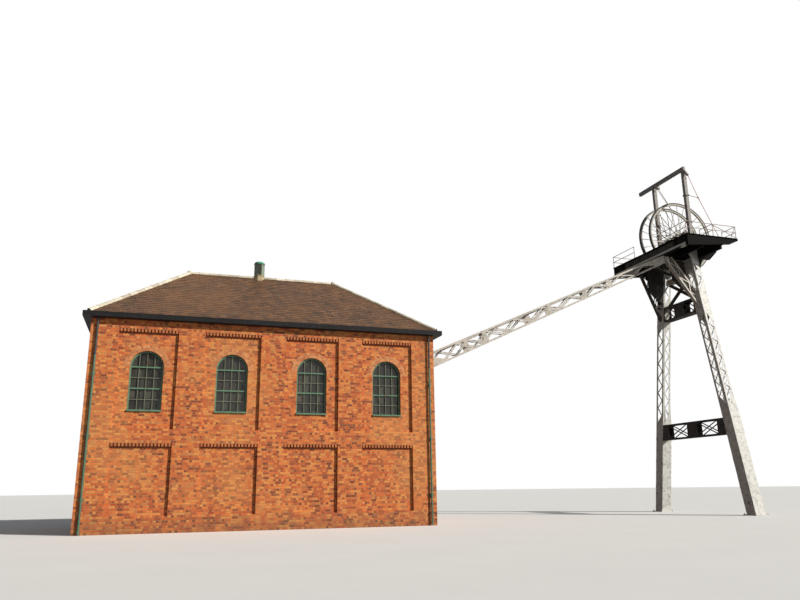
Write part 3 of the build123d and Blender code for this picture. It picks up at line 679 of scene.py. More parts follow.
@dataclass(frozen=True)
class RimPaint(Paint):
    """Pale paint of a sheave, with a dark greased groove round its outside."""

    groove: Colour = (0.050, 0.044, 0.040)
    middle: tuple[float, float] = (14.6875, 15.65)
    start: float = 2.062

    def coat(self, n: Nodes) -> Value:
        """Dark where the distance from the shaft's line passes the groove's start.

        Args:
            n: the material's nodes.

        Returns:
            The paint's colour.
        """
        x, _, z = n.parts(n.place)
        dx, dz = x - self.middle[0], z - self.middle[1]
        far = n.math("SQRT", dx * dx + dz * dz)
        return n.mix(far.step(self.start - 0.01, self.start + 0.01), super().coat(n), self.groove)


@dataclass(frozen=True)
class TwoCoats(Finish):
    """Painted iron with one colour below a height and another above it."""

    low: Colour
    high: Colour
    change: float

    def lay(self, n: Nodes) -> Material:
        """Step on height between the colours, with stains and a little rust in both.

        Args:
            n: the material's nodes.

        Returns:
            The material.
        """
        coat = n.mix(n.parts(n.place)[2].step(self.change - 0.01, self.change + 0.01), self.low, self.high)
        stain = n.noise(2.5, 5.0, 0.65, (3.0, 3.0, 0.5)).step(0.50, 0.74)
        coat = n.mix(stain * 0.5, coat, (0.05, 0.05, 0.04))
        fine = n.noise(30.0, 4.0, 0.65)
        rust = fine.step(0.62, 0.70)
        return n.finish(n.mix(rust * 0.7, coat, (0.15, 0.06, 0.03)), rust * 0.35 + 0.42, fine, 0.002, 0.4)


@dataclass(frozen=True)
class Pane(Finish):
    """Old window glass, dark as painted shade for the unlit room behind it, slightly wavy, dusty."""

    name: str = "window_glass"
    column: float = 0.205
    row: float = 0.385

    def lay(self, n: Nodes) -> Material:
        """Each pane has its own tone from a hash of its column and row.

        Args:
            n: the material's nodes.

        Returns:
            The material.
        """
        cells = n.node("VectorMath", {0: n.place, 1: (self.column, 9.0, self.row)}, operation="DIVIDE")
        number = n.node("VectorMath", {0: cells}, operation="FLOOR")
        own = n.node("TexWhiteNoise", {"Vector": number}, "Value", noise_dimensions="3D")
        tone = n.ramp(own, [(0.0, (0.014, 0.014, 0.012)), (0.55, (0.028, 0.027, 0.021)),
                            (0.85, (0.045, 0.043, 0.033)), (1.0, (0.075, 0.072, 0.055))])
        dust = n.noise(6.0, 4.0, 0.6).step(0.45, 0.75)
        tone = n.mix(dust * 0.4, tone, (0.09, 0.085, 0.065))
        return n.finish(tone, dust * 0.3 + 0.12, n.noise(3.2, 2.0), 0.01, 0.25, 0.12)


@dataclass(frozen=True)
class Screed(Finish):
    """Floor screed: a mottled grey."""

    name: str = "floor_screed"
    colour: Colour = (0.30, 0.28, 0.25)

    def lay(self, n: Nodes) -> Material:
        """Grey with stains from two noises.

        Args:
            n: the material's nodes.

        Returns:
            The material.
        """
        stain = n.noise(0.8, 5.0, 0.6).step(0.42, 0.7)
        fine = n.noise(30.0, 4.0, 0.6)
        tone = n.mix(stain, self.colour, tuple(c * 0.6 for c in self.colour))
        return n.finish(n.mix(fine * 0.3, tone, (0.2, 0.18, 0.15)), 0.85, fine, 0.003, 0.4)


# The house

class Side(Enum):
    """The four faces of the house: a point on the wall, the run direction and the outward direction."""

    FRONT = ((0.0, 0.0), (1.0, 0.0), (0.0, -1.0))
    REAR = ((14.0, HOUSE_DEPTH), (-1.0, 0.0), (0.0, 1.0))
    LEFT = ((0.0, HOUSE_DEPTH), (0.0, -1.0), (-1.0, 0.0))
    RIGHT = ((14.0, 0.0), (0.0, 1.0), (1.0, 0.0))

    def directions(self) -> list[np.ndarray]:
        """Corner, run and outward as three-part vectors."""
        return [np.array([*pair, 0.0]) for pair in self.value]

    def at(self, run: object, out: object, z: object) -> np.ndarray:
        """Points by distance along the wall, distance outward and height; arrays give rows.

        Args:
            run: distance along the wall.
            out: distance outward from its face.
            z: height.

        Returns:
            The points.
        """
        corner, along, outward = self.directions()
        run, out, z = (v[..., None] for v in np.broadcast_arrays(run, out, z))
        return corner + run * along + out * outward + z * UP

    def axes(self, run: float, out: float, height: float) -> np.ndarray:
        """Half axes of a box along this wall."""
        _, along, outward = self.directions()
        return np.array([along * run / 2, -outward * out / 2, UP * height / 2])


LONG_SIDES = (Side.FRONT, Side.REAR)


@dataclass(frozen=True)
class House:
    """Sizes that the pieces of the house share."""

    length: float = 14.0
    depth: float = HOUSE_DEPTH
    wall_top: float = 8.0
    bay_pitch: float = 3.24
    panel_width: float = 2.22
    panel_depth: float = 0.115
    panel_tops: tuple[float, float] = (3.26, 7.64)
    end_panel_tops: tuple[float, float] = (3.26, 6.40)
    window_width: float = 1.25
    sill: float = 4.46
    spring: float = 6.18
    setback: float = 0.23
    frame_depth: float = 0.09

    def bays(self, side: Side) -> np.ndarray:
        """Middles of the bays along one side."""
        run, count = (self.length, 4) if side in LONG_SIDES else (self.depth, 2)
        return run / 2 + self.bay_pitch * (np.arange(count) - (count - 1) / 2)


@dataclass
class Walls:
    """Brick walls with hanging dentils in the sunk panels and rubbed brick rings over the windows."""

    house: House
    dentil: tuple[float, float] = (0.076, 0.112)
    dentil_pitch: float = 0.129
    bed: tuple[float, float] = (0.028, 0.046)
    ring_depth: float = 0.112
    ring_count: int = 27
    rings: int = 2
    joint: float = 0.004
    proud: float = 0.006

    def dentils(self) -> None:
        """Blocks hang from each panel's top edge at one pitch, flush with the wall's face, over a course in the darkest
        tone as painted shade under the dentils.
        """
        mesh, rng, h = Mesh(), np.random.default_rng(3), self.house
        width, height = self.dentil
        depth = h.panel_depth - self.joint
        count = int(h.panel_width // self.dentil_pitch)
        shifts = (np.arange(count) - (count - 1) / 2) * self.dentil_pitch
        bed_out, bed_height = self.bed
        for side in Side:
            for middle, top in product(h.bays(side), h.panel_tops if side in LONG_SIDES else h.end_panel_tops):
                centres = side.at(middle + shifts, depth / 2 - h.panel_depth, top - height / 2)
                tones = np.repeat(0.45 + 0.55 * rng.random(count), 6)
                mesh.blocks(centres, side.axes(width, depth, height), tones)
                # The course under the dentils takes tone 0, the darkest, as painted shade
                centre = side.at(middle, 0.016 - h.panel_depth, top - height - 0.024)
                mesh.blocks(centre, side.axes(h.panel_width - self.joint, bed_out, bed_height), 0.0)
        brick = SingleBrick("dentil_brick", (0.56, 0.185, 0.062), (0.26, 0.060, 0.022)).build()
        mesh.build("dentil_bands", brick, "brick")

    def arch_rings(self) -> None:
        """Wedge bricks on half circles: corner = centre + r (cos a, sin a), each brick between two angles."""
        mesh, rng, h = Mesh(), np.random.default_rng(8), self.house
        corner = np.arange(8)
        sides = [(side, middle) for side in LONG_SIDES for middle in h.bays(side)]
        for (side, middle), ring in product(sides, range(self.rings)):
            inner = h.window_width / 2 + self.joint + ring * (self.ring_depth + 0.005)
            count = self.ring_count + 4 * ring
            turn, gap = np.linspace(0, np.pi, count + 1), self.joint / inner
            angle = np.stack([turn[:-1] + gap, turn[1:] - gap], 1)[:, corner >> 2]
            radius = inner + self.ring_depth * (corner >> 1 & 1)
            out = np.where(corner & 1, -0.03, self.proud) - h.panel_depth
            points = side.at(middle - radius * np.cos(angle), out, h.spring + radius * np.sin(angle))
            mesh.add(points, box_faces(count), np.repeat(rng.random(count), 6))
        brick = SingleBrick("arch_brick", (0.72, 0.33, 0.13), (0.46, 0.15, 0.055)).build()
        turn_outward(mesh.build("window_arch_rings", brick, "brick"))

    def build(self) -> None:
        """Gives the walls their brickwork and adds both kinds of shaped brick."""
        brick = Brickwork().build()
        for place in ("front", "rear", "left_end", "right_end"):
            dress(f"{place}_wall", brick)
        self.dentils()
        self.arch_rings()


@dataclass
class Windows:
    """Glazing bars in the four front and four rear frames, four panes wide."""

    house: House
    frame: float = 0.06
    bar: float = 0.024
    bar_depth: float = 0.04
    cross_bar_depth: float = 0.034
    columns: int = 4
    cross_bars: tuple[float, ...] = (4.93, 5.77)

    def bars(self, side: Side, paint: Material) -> None:
        """Upright bars end where they meet the round head: height = spring + root of (r squared - x squared).

        Args:
            side: the house's side.
            paint: the bars' finish.
        """
        mesh, h = Mesh(), self.house
        clear, low, out = h.window_width / 2 - self.frame, h.sill + self.frame, -(h.setback + h.frame_depth / 2)
        for middle in h.bays(side):
            for x in np.linspace(-clear, clear, self.columns + 1)[1:-1]:
                top = h.spring + math.sqrt(clear ** 2 - x ** 2)
                centre = side.at(middle + x, out, (low + top) / 2)
                mesh.blocks(centre, side.axes(self.bar, self.bar_depth, top - low))
            centres = side.at(middle, out, np.array(self.cross_bars))
            mesh.blocks(centres, side.axes(2 * clear, self.cross_bar_depth, self.bar))
        mesh.build(f"glazing_bars_{side.name.lower()}", paint, "window_paint")

    def build(self) -> None:
        """Paints frames, bars and glass."""
        green = Paint("window_green", (0.11, 0.215, 0.135), Wear.WORN, rough=0.45).build()
        grey = Paint("glazing_bar_grey", (0.165, 0.175, 0.120)).build()
        glass = Pane().build()
        for side in LONG_SIDES:
            place = side.name.lower()
            for number in range(1, 5):
                dress(f"{place}_window_{number}", green)
            dress(f"{place}_glass", glass)
            self.bars(side, grey)


@dataclass
class SlateRoof:
    """Four slopes of lapped slates, half-round tiles on ridge and hips, and a rounded cap where they meet."""

    house: House
    overhang: float = 0.18
    eaves: float = 8.18
    ridge: float = 11.26
    inset: float = 3.6
    slate_width: float = 0.255
    gauge: float = 0.205
    lap: float = 0.03
    lift: float = 0.016
    thickness: float = 0.007
    tile_length: float = 0.45
    tile_radius: float = 0.095
    tile_thickness: float = 0.014
    tile_start: float = 0.12
    cap: tuple[tuple[float, float], ...] = (
        (0.10, -0.06), (0.118, 0.03), (0.110, 0.075), (0.085, 0.11), (0.045, 0.128), (0.008, 0.134))

    def corners(self) -> dict[str, np.ndarray]:
        """Corner points of the slopes: front or back with left or right, and the ridge's ends.

        Returns:
            The points by the first letters of their names.
        """
        left, right, middle = -self.overhang, self.house.length + self.overhang, self.house.depth / 2
        front, back = -self.overhang, self.house.depth + self.overhang
        points = {"fl": (left, front, self.eaves), "fr": (right, front, self.eaves), "bl": (left, back, self.eaves),
                  "br": (right, back, self.eaves), "rl": (self.inset, middle, self.ridge),
                  "rr": (self.house.length - self.inset, middle, self.ridge)}
        return {name: np.array(point) for name, point in points.items()}

    def slope(self, low_a: np.ndarray, low_b: np.ndarray, high_a: np.ndarray, high_b: np.ndarray,
              seed: int) -> Mesh:
        """Courses climb the slope at one gauge, every second one shifted by half a slate, cut at the hips.

        Args:
            low_a: left end of the eaves, seen from outside.
            low_b: right end of the eaves.
            high_a: left end of the top.
            high_b: right end of the top.
            seed: for the tones and small lifts.

        Returns:
            The slates.
        """
        mesh, rng = Mesh(), np.random.default_rng(seed)
        length = np.linalg.norm(low_b - low_a)
        across = (low_b - low_a) / length
        left_top, right_top = (high_a - low_a) @ across, (high_b - low_a) @ across
        climb = high_a - low_a - left_top * across
        rise = np.linalg.norm(climb)
        up = climb / rise
        normal = np.cross(across, up)
        for row in range(int(rise / self.gauge)):
            v = np.array([row * self.gauge, min(rise - 0.01, (row + 1) * self.gauge + self.lap)])
            left, right = left_top * v / rise, length + (right_top - length) * v / rise
            start = (np.arange(int(length / self.slate_width) + 2) - 0.5 * (row % 2)) * self.slate_width + 0.002
            u = np.stack([start, start + self.slate_width - 0.005], 1)
            u = np.clip(u[:, None, :], left[None, :, None], right[None, :, None])
            u = u[(u[:, 0, 1] - u[:, 0, 0] > 0.03)]
            lifts = np.array([self.lift, 0.002]) + rng.normal(0, 0.0012, (len(u), 1)) * [1, 0]
            tail = rng.normal(0, 0.003, (len(u), 1)) * [1, 0]
            levels = [low_a + u[..., None] * across + (v + tail)[:, :, None, None] * up
                      + np.maximum(lifts - drop, 0.0)[:, :, None, None] * normal for drop in (self.thickness, 0.0)]
            tone = np.clip(rng.normal(0.48, 0.22, len(u)), 0, 1)
            mesh.add(np.stack(levels, 1), box_faces(len(u)), np.repeat(tone, 6))
        return mesh

    def slates(self) -> None:
        """One piece of slates for each slope."""
        p, finish = self.corners(), Slating().build()
        sides = {"front_slope": ("fl", "fr", "rl", "rr"), "rear_slope": ("br", "bl", "rr", "rl"),
                 "left_hip": ("bl", "fl", "rl", "rl"), "right_hip": ("fr", "br", "rr", "rr")}
        for number, (name, keys) in enumerate(sides.items()):
            mesh = self.slope(*(p[key] for key in keys), seed=20 + number)
            mesh.build(f"slates_{name.split('_')[0]}", finish, "slate")
            dress(f"roof_{name}", finish)

    def tiles(self) -> None:
        """Each tile is part of a round shell, wider at its lapping end: point = line + r(s) (cos a side + sin a up)."""
        p, mesh, rng = self.corners(), Mesh(), np.random.default_rng(5)
        turn = np.linspace(np.radians(-18), np.radians(198), 13)[:, None]
        radius = np.array([1.0, 1.0, 0.93, 0.90]) * self.tile_radius
        radii = np.stack([radius, radius - self.tile_thickness])[..., None, None]
        outer, inner = np.arange(2 * 4 * 13).reshape(2, 4, 13)
        faces = [np.stack([outer[:-1, :-1], outer[1:, :-1], outer[1:, 1:], outer[:-1, 1:]], -1),
                 np.stack([inner[:-1, :-1], inner[:-1, 1:], inner[1:, 1:], inner[1:, :-1]], -1),
                 np.stack([outer[0, :-1], outer[0, 1:], inner[0, 1:], inner[0, :-1]], -1)]
        faces = np.concatenate([part.reshape(-1, 4) for part in faces])
        for first, last in (("rl", "rr"), ("fl", "rl"), ("bl", "rl"), ("fr", "rr"), ("br", "rr")):
            line = p[last] - p[first]
            step = unit(line)
            side = unit(np.cross(step, UP))
            ring = np.cos(turn) * side + np.sin(turn) * np.cross(side, step)
            run = np.linalg.norm(line) - self.tile_start
            count = round(run / self.tile_length)
            each = run / count
            for i in range(count):
                s = self.tile_start * (first != "rl") + i * each + np.array([0.0, 0.05, 0.05, each + 0.01])
                mesh.add(p[first] + s[:, None, None] * step + radii * ring, faces, rng.random())
        for end in ("rl", "rr"):
            mesh.add(*lathe(self.cap, p[end], sides=16), 0.6)
        piece = mesh.build("ridge_and_hip_tiles_laid", Clay().build(), "ridge_tile")
        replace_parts(piece, "ridge_and_hip_tiles")

    def build(self) -> None:
        """Slates first, then the tiles that cover their cut edges."""
        self.slates()
        self.tiles()


@dataclass
class Rainwater:
    """Cast iron gutter with joints and brackets, and round downpipes with sockets and ears."""

    house: House
    gutter_out: float = 0.31
    gutter_top: float = 8.2
    bracket_z: float = 8.016
    length_of_gutter: float = 1.83
    pipe_radius: float = 0.05
    pipe_gap: float = 0.04
    pipe_inset: float = 0.25
    clips: tuple[float, ...] = (1.2, 3.5, 5.8)
    ear: float = 0.07

    def gutter(self, paint: Material) -> None:
        """Rims, joint collars and brackets stand a little proud of the trough.

        Args:
            paint: their finish.
        """
        mesh, out, top = Mesh(), self.gutter_out, self.gutter_top
        for side in Side:
            length = self.house.length if side in LONG_SIDES else self.house.depth
            mesh.blocks(side.at(length / 2, out - 0.006, top - 0.014), side.axes(length + 2 * out - 0.03, 0.010, 0.026))
            runs = np.linspace(0.2, length - 0.2, max(3, round(length / self.length_of_gutter)))
            mesh.blocks(side.at(runs, out - 0.063, top - 0.100), side.axes(0.07, 0.124, 0.196))
            holds = (runs[:-1] + runs[1:]) / 2
            mesh.blocks(side.at(holds, out - 0.20, self.bracket_z), side.axes(0.035, 0.20, 0.03))
        mesh.build("gutter_fittings", paint, "black_paint")

    def pipe(self, node: str, x: float, side: int, paint: Material) -> None:
        """Lengths of pipe with sockets: radius against height as one profile, ears and a bent foot added.

        Args:
            node: the node that it replaces.
            x: place along the house.
            side: 1 at the front, -1 at the rear.
            paint: its finish.
        """
        wall = 0.0 if side > 0 else self.house.depth
        y, r = wall - side * (self.pipe_gap + self.pipe_radius), self.pipe_radius
        rows = [(r * 0.8, 0.14)]
        for z in self.clips:
            rows += [(r * 0.8, z - 0.02), (r, z - 0.02), (r, z + 0.085), (r * 0.8, z + 0.09)]
        rows += [(r * 0.8, self.house.wall_top)]
        mesh = Mesh()
        mesh.add(*lathe(rows, (x, y, 0.0), sides=20))
        for z, turn in product(self.clips, SIGNS):
            mesh.blocks((x + turn * self.ear, y + side * 0.03, z + 0.03), aligned(0.04, 0.03, 0.06))
            mesh.blocks((x + turn * self.ear, wall - side * 0.024, z + 0.03), aligned(0.014, 0.048, 0.014))
        mesh.tube([(x, y, 0.2), (x, y, 0.13), (x, y - side * 0.004, 0.08), (x, y - side * 0.008, 0.04)], r * 0.88, 16)
        piece = mesh.build(f"{node}_round", paint, "green_paint")
        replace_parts(piece, node)

    def build(self) -> None:
        """Paints the gutter and fascia and lays the pipes."""
        black = Paint("gutter_black", (0.010, 0.010, 0.011), Wear.KEPT, gloss=0.08).build()
        green = TwoCoats("downpipe_green_and_black", (0.060, 0.138, 0.080), (0.012, 0.012, 0.013), 6.55).build()
        dress("eaves_gutter", black)
        dress("eaves_fascia", black)
        self.gutter(black)
        for place, x in (("left", self.pipe_inset), ("right", self.house.length - self.pipe_inset)):
            self.pipe(f"downpipe_front_{place}", x, 1, green)
            self.pipe(f"downpipe_rear_{place}", x, -1, green)


@dataclass
class Ventilator:
    """Eight-sided turret on the ridge: a pale curb, plain corner faces, dark louvres between, backed by a dark sheet of
    painted shade, and a low dome.
    """

    middle: tuple[float, float, float] = (6.79, 4.2, 0.0)
    radius: float = 0.235
    low: float = 10.98
    curb: float = 11.40
    high: float = 11.96
    top: float = 12.11
    blades: int = 6
    half_face: float = np.pi / 8

    def turned(self, name: str, profile: Sequence[tuple[float, float]], paint: Paint) -> bpy.types.Object:
        """One piece from rows of radius and height on eight corners, with a face looking forward.

        Args:
            name: the piece's name.
            profile: rows of radius and height.
            paint: its finish.

        Returns:
            The piece.
        """
        mesh = Mesh()
        mesh.add(*lathe(profile, self.middle, sides=8, start=self.half_face))
        return mesh.build(name, paint.build(), "vent_paint")

    def louvres(self) -> None:
        """Openings in the four main faces, filled by a dark sheet as painted shade for the turret's inside, each
        crossed by sloping blades in the same dark paint.
        """
        mesh, low, high = Mesh(), self.curb, self.high
        flat = self.radius * math.cos(self.half_face) + 0.004
        half = self.radius * math.sin(self.half_face) - 0.012
        heights = np.linspace(low + 0.05, high - 0.05, self.blades)[:, None]
        for turn in np.arange(4) * np.pi / 2:
            out = np.array([math.cos(turn), math.sin(turn), 0.0])
            side = np.array([-math.sin(turn), math.cos(turn), 0.0])
            centre = np.array(self.middle) + out * flat
            # Dark sheet in each opening: painted shade for the turret's inside
            mesh.blocks(centre + UP * (high + low) / 2,
                        np.array([side * half, out * 0.003, UP * ((high - low) / 2 - 0.02)]))
            lean = unit(out * 0.5 - UP)
            mesh.blocks(centre + out * 0.010 + heights * UP,
                        np.array([side * half, lean * 0.024, np.cross(side, lean) * 0.003]))
        dark = Paint("ventilator_louvre_dark", (0.050, 0.050, 0.038), gloss=0.1).build()
        mesh.build("ventilator_louvres", dark, "vent_paint")

    def build(self) -> None:
        """Walls, curb moulding, louvres and a dome: its radius falls as the cosine while it rises as the sine."""
        r, curb, high = self.radius, self.curb, self.high
        piece = self.turned("ventilator_turret", [(r, curb - 0.01), (r, high), (r * 0.7, high + 0.01)],
                            Paint("ventilator_grey_green", (0.21, 0.27, 0.20)))
        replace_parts(piece, "ridge_ventilator")
        self.turned("ventilator_curb", [(r + 0.004, self.low), (r + 0.004, curb - 0.05), (r + 0.03, curb - 0.04),
                                        (r + 0.03, curb - 0.01), (r + 0.002, curb)],
                    Paint("ventilator_curb_ochre", (0.42, 0.34, 0.20)))
        self.louvres()
        rim, turn = r + 0.035, np.linspace(0.0, np.pi / 2 - 0.12, 6)
        dome = zip(rim * 0.96 * np.cos(turn), high + 0.026 + (self.top - high - 0.03) * np.sin(turn))
        self.turned("ventilator_dome", [(r * 0.6, high), (rim, high), (rim, high + 0.025), *dome],
                    Paint("ventilator_dome_verdigris", (0.10, 0.33, 0.22), Wear.KEPT, (0.05, 0.10, 0.07), 0.6,
                          (0.03, 0.08, 0.06)))


# The headgear. Members and plates are worked out for the near side; build_pair mirrors them to the far one.

def spots(x: object, y: object, z: object) -> np.ndarray:
    """Places in rows, from numbers or arrays of each coordinate."""
    return np.stack(np.broadcast_arrays(x, y, z), -1)


@dataclass(frozen=True)
class Member:
    """A box member: place = start + s axis + u width direction + w depth direction."""

    start: np.ndarray
    axis: np.ndarray
    across: np.ndarray
    width: float
    depth: float
    length: float

    @staticmethod
    def between(start: Sequence[float], end: Sequence[float], across: Sequence[float], width: float,
                depth: float) -> "Member":
        """A member whose middle line runs from start to end.

        Args:
            start: middle of one end.
            end: middle of the other.
            across: the width's direction, squared to the line.
            width: size that way.
            depth: size square to it.

        Returns:
            The member.
        """
        start, end, across = (np.asarray(v, float) for v in (start, end, across))
        axis = unit(end - start)
        across = unit(across - (across @ axis) * axis)
        return Member(start, axis, across, width, depth, float(np.linalg.norm(end - start)))

    def deep(self) -> np.ndarray:
        """The depth direction."""
        return np.cross(self.axis, self.across)

    def at(self, s: object, u: object, w: object) -> np.ndarray:
        """Places in rows."""
        s, u, w = (v[..., None] for v in np.broadcast_arrays(s, u, w))
        return self.start + s * self.axis + u * self.across + w * self.deep()

    def edge_rivets(self, mesh: Mesh, pitch: float, inset: float, radius: float, low: float, high: float) -> None:
        """Lines of rivets beside all four edges, on both faces that meet there.

        Args:
            mesh: gathers them.
            pitch: distance from one to the next.
            inset: distance from the edge.
            radius: a rivet's radius.
            low: where the lines start.
            high: where they end.
        """
        s, half_u, half_w = np.arange(low, high, pitch), self.width / 2, self.depth / 2
        for sign, other in product(SIGNS, SIGNS):
            mesh.rivets(self.at(s, sign * half_u, other * (half_w - inset)), sign * self.across, radius)
            mesh.rivets(self.at(s + pitch / 2, other * (half_u - inset), sign * half_w), sign * self.deep(), radius)

    def seams(self, mesh: Mesh, places: Sequence[float], radius: float, height: float = 0.16, thick: float = 0.010,
              offset: float = 0.05, count: int = 6) -> None:
        """Butt straps round all four faces, with a row of rivets above and below each joint.

        Args:
            mesh: gathers them.
            places: distances of the joints from the start.
            radius: a rivet's radius.
            height: a strap's height.
            thick: a strap's thickness.
            offset: a rivet row's distance from the joint, and its ends' distance from the edges.
            count: rivets in a row.
        """
        deep, half_u, half_w = self.deep(), self.width / 2, self.depth / 2
        line, along = np.linspace(-1, 1, count), self.axis * height / 2
        for sign in SIGNS:
            mesh.blocks(self.at(places, sign * (half_u + thick / 2), 0.0),
                        np.array([along, self.across * thick / 2, deep * half_w]))
            mesh.blocks(self.at(places, 0.0, sign * (half_w + thick / 2)),
                        np.array([along, self.across * half_u, deep * thick / 2]))
            for place, shift in product(places, SIGNS):
                s = place + shift * offset
                mesh.rivets(self.at(s, sign * (half_u + thick), line * (half_w - offset)), sign * self.across, radius)
                mesh.rivets(self.at(s, line * (half_u - offset), sign * (half_w + thick)), sign * deep, radius)


@dataclass(frozen=True)
class Headgear:
    """Sizes that the pieces of the headgear share."""

    axis_x: float = 31.2
    portal_x: float = 30.9
    leg_size: float = 0.6
    lattice_width: float = 0.5
    casing_top: float = 5.0
    casing_taper: float = 1.2
    leg_base: float = 0.33
    leg_top: float = 2.725
    leg_height: float = 14.05
    middle_y: float = 4.2
    deck_left: float = 29.12
    deck_right: float = 32.55
    deck_front: float = 0.8
    deck_top: float = 14.71
    beam_depth: float = 0.65
    beam_width: float = 0.12
    sheave_z: float = 15.65
    sheave_spacing: float = 0.9
    bearing_width: float = 0.15
    bearing_gap: float = 0.06
    stay_top: float = 7.43
    stay_depth: float = 0.75
    stay_head_depth: float = 0.43
    stay_width: float = 0.36
    wall_x: float = 14.0
    knee_foot: float = 11.0
    knee_depth: float = 0.52
    knee_width: float = 0.2

    def leg_angle(self) -> float:
        """Lean of a leg from upright."""
        return math.atan2(self.leg_top - self.leg_base, self.leg_height)

    def leg_across(self) -> float:
        """A leg's depth, measured level."""
        return self.leg_size / math.cos(self.leg_angle())

    def leg(self) -> Member:
        """A leg, in its full width.

        Returns:
            The near one.
        """
        half = self.leg_across() / 2
        low, high = (self.axis_x, self.leg_base + half, 0.0), (self.axis_x, self.leg_top + half, self.leg_height)
        return Member.between(low, high, (1, 0, 0), self.leg_size, self.leg_size)

    def lattice(self) -> Member:
        """A leg above its casing, where the outer side has stepped in.

        Returns:
            The near one.
        """
        leg = self.leg()
        shift = (self.lattice_width - self.leg_size) / 2 * leg.across
        return replace(leg, start=leg.start + shift, width=self.lattice_width)

    def leg_side(self, s: np.ndarray) -> np.ndarray:
        """How far the outer side stands from the middle line: wide in the casing, then tapering to the lattice."""
        levels = np.array([self.casing_top, self.casing_top + self.casing_taper]) / math.cos(self.leg_angle())
        return np.interp(s, levels, [self.leg_size / 2, self.lattice_width - self.leg_size / 2])

    def stay_depth_at(self, s: np.ndarray) -> np.ndarray:
        """Depth of a backstay at a distance from the house, the same change for each metre."""
        return self.stay_depth + (self.stay_head_depth - self.stay_depth) * s / self.backstay().length

    def backstay(self) -> Member:
        """A backstay, in its depth at the house.

        Returns:
            The near one.
        """
        y, end = self.leg_top + self.leg_across() / 2, self.deck_left + self.beam_width / 2
        slope = math.atan2(self.leg_height - self.stay_top, self.deck_left - self.wall_x)
        drop = np.array([math.sin(slope), 0.0, -math.cos(slope)]) * self.stay_depth / 2
        rise = (end - self.wall_x) * math.tan(slope)
        first, last = np.array([self.wall_x, y, self.stay_top]), np.array([end, y, self.stay_top + rise])
        return Member.between(first + drop, last + drop, (0, 1, 0), self.stay_width, self.stay_depth)

    def knee(self) -> Member:
        """A knee brace, in the plane of its leg.

        Returns:
            The near one.
        """
        leg = self.leg()
        low = leg.at(self.knee_foot * leg.length / self.leg_height, -self.leg_size / 2, 0.0)
        high = leg.at(leg.length, self.deck_left + self.beam_width / 2 - self.axis_x, 0.0)
        line = unit(high - low)
        side = unit(leg.across - (leg.across @ line) * line)
        shift = side * self.knee_depth / 2
        return Member.between(low + shift, high + shift, side, self.knee_depth, self.knee_width)

    def cross_girder(self, low: float, high: float, width: float) -> Member:
        """A cross girder between the legs, flush with their inner faces.

        Args:
            low: its bottom.
            high: its top.
            width: its width.

        Returns:
            The girder.
        """
        x, z = self.portal_x + width / 2, (low + high) / 2
        near = self.leg_base + z * math.tan(self.leg_angle()) + self.leg_across()
        return Member.between((x, near, z), (x, 2 * self.middle_y - near, z), (1, 0, 0), width, high - low)


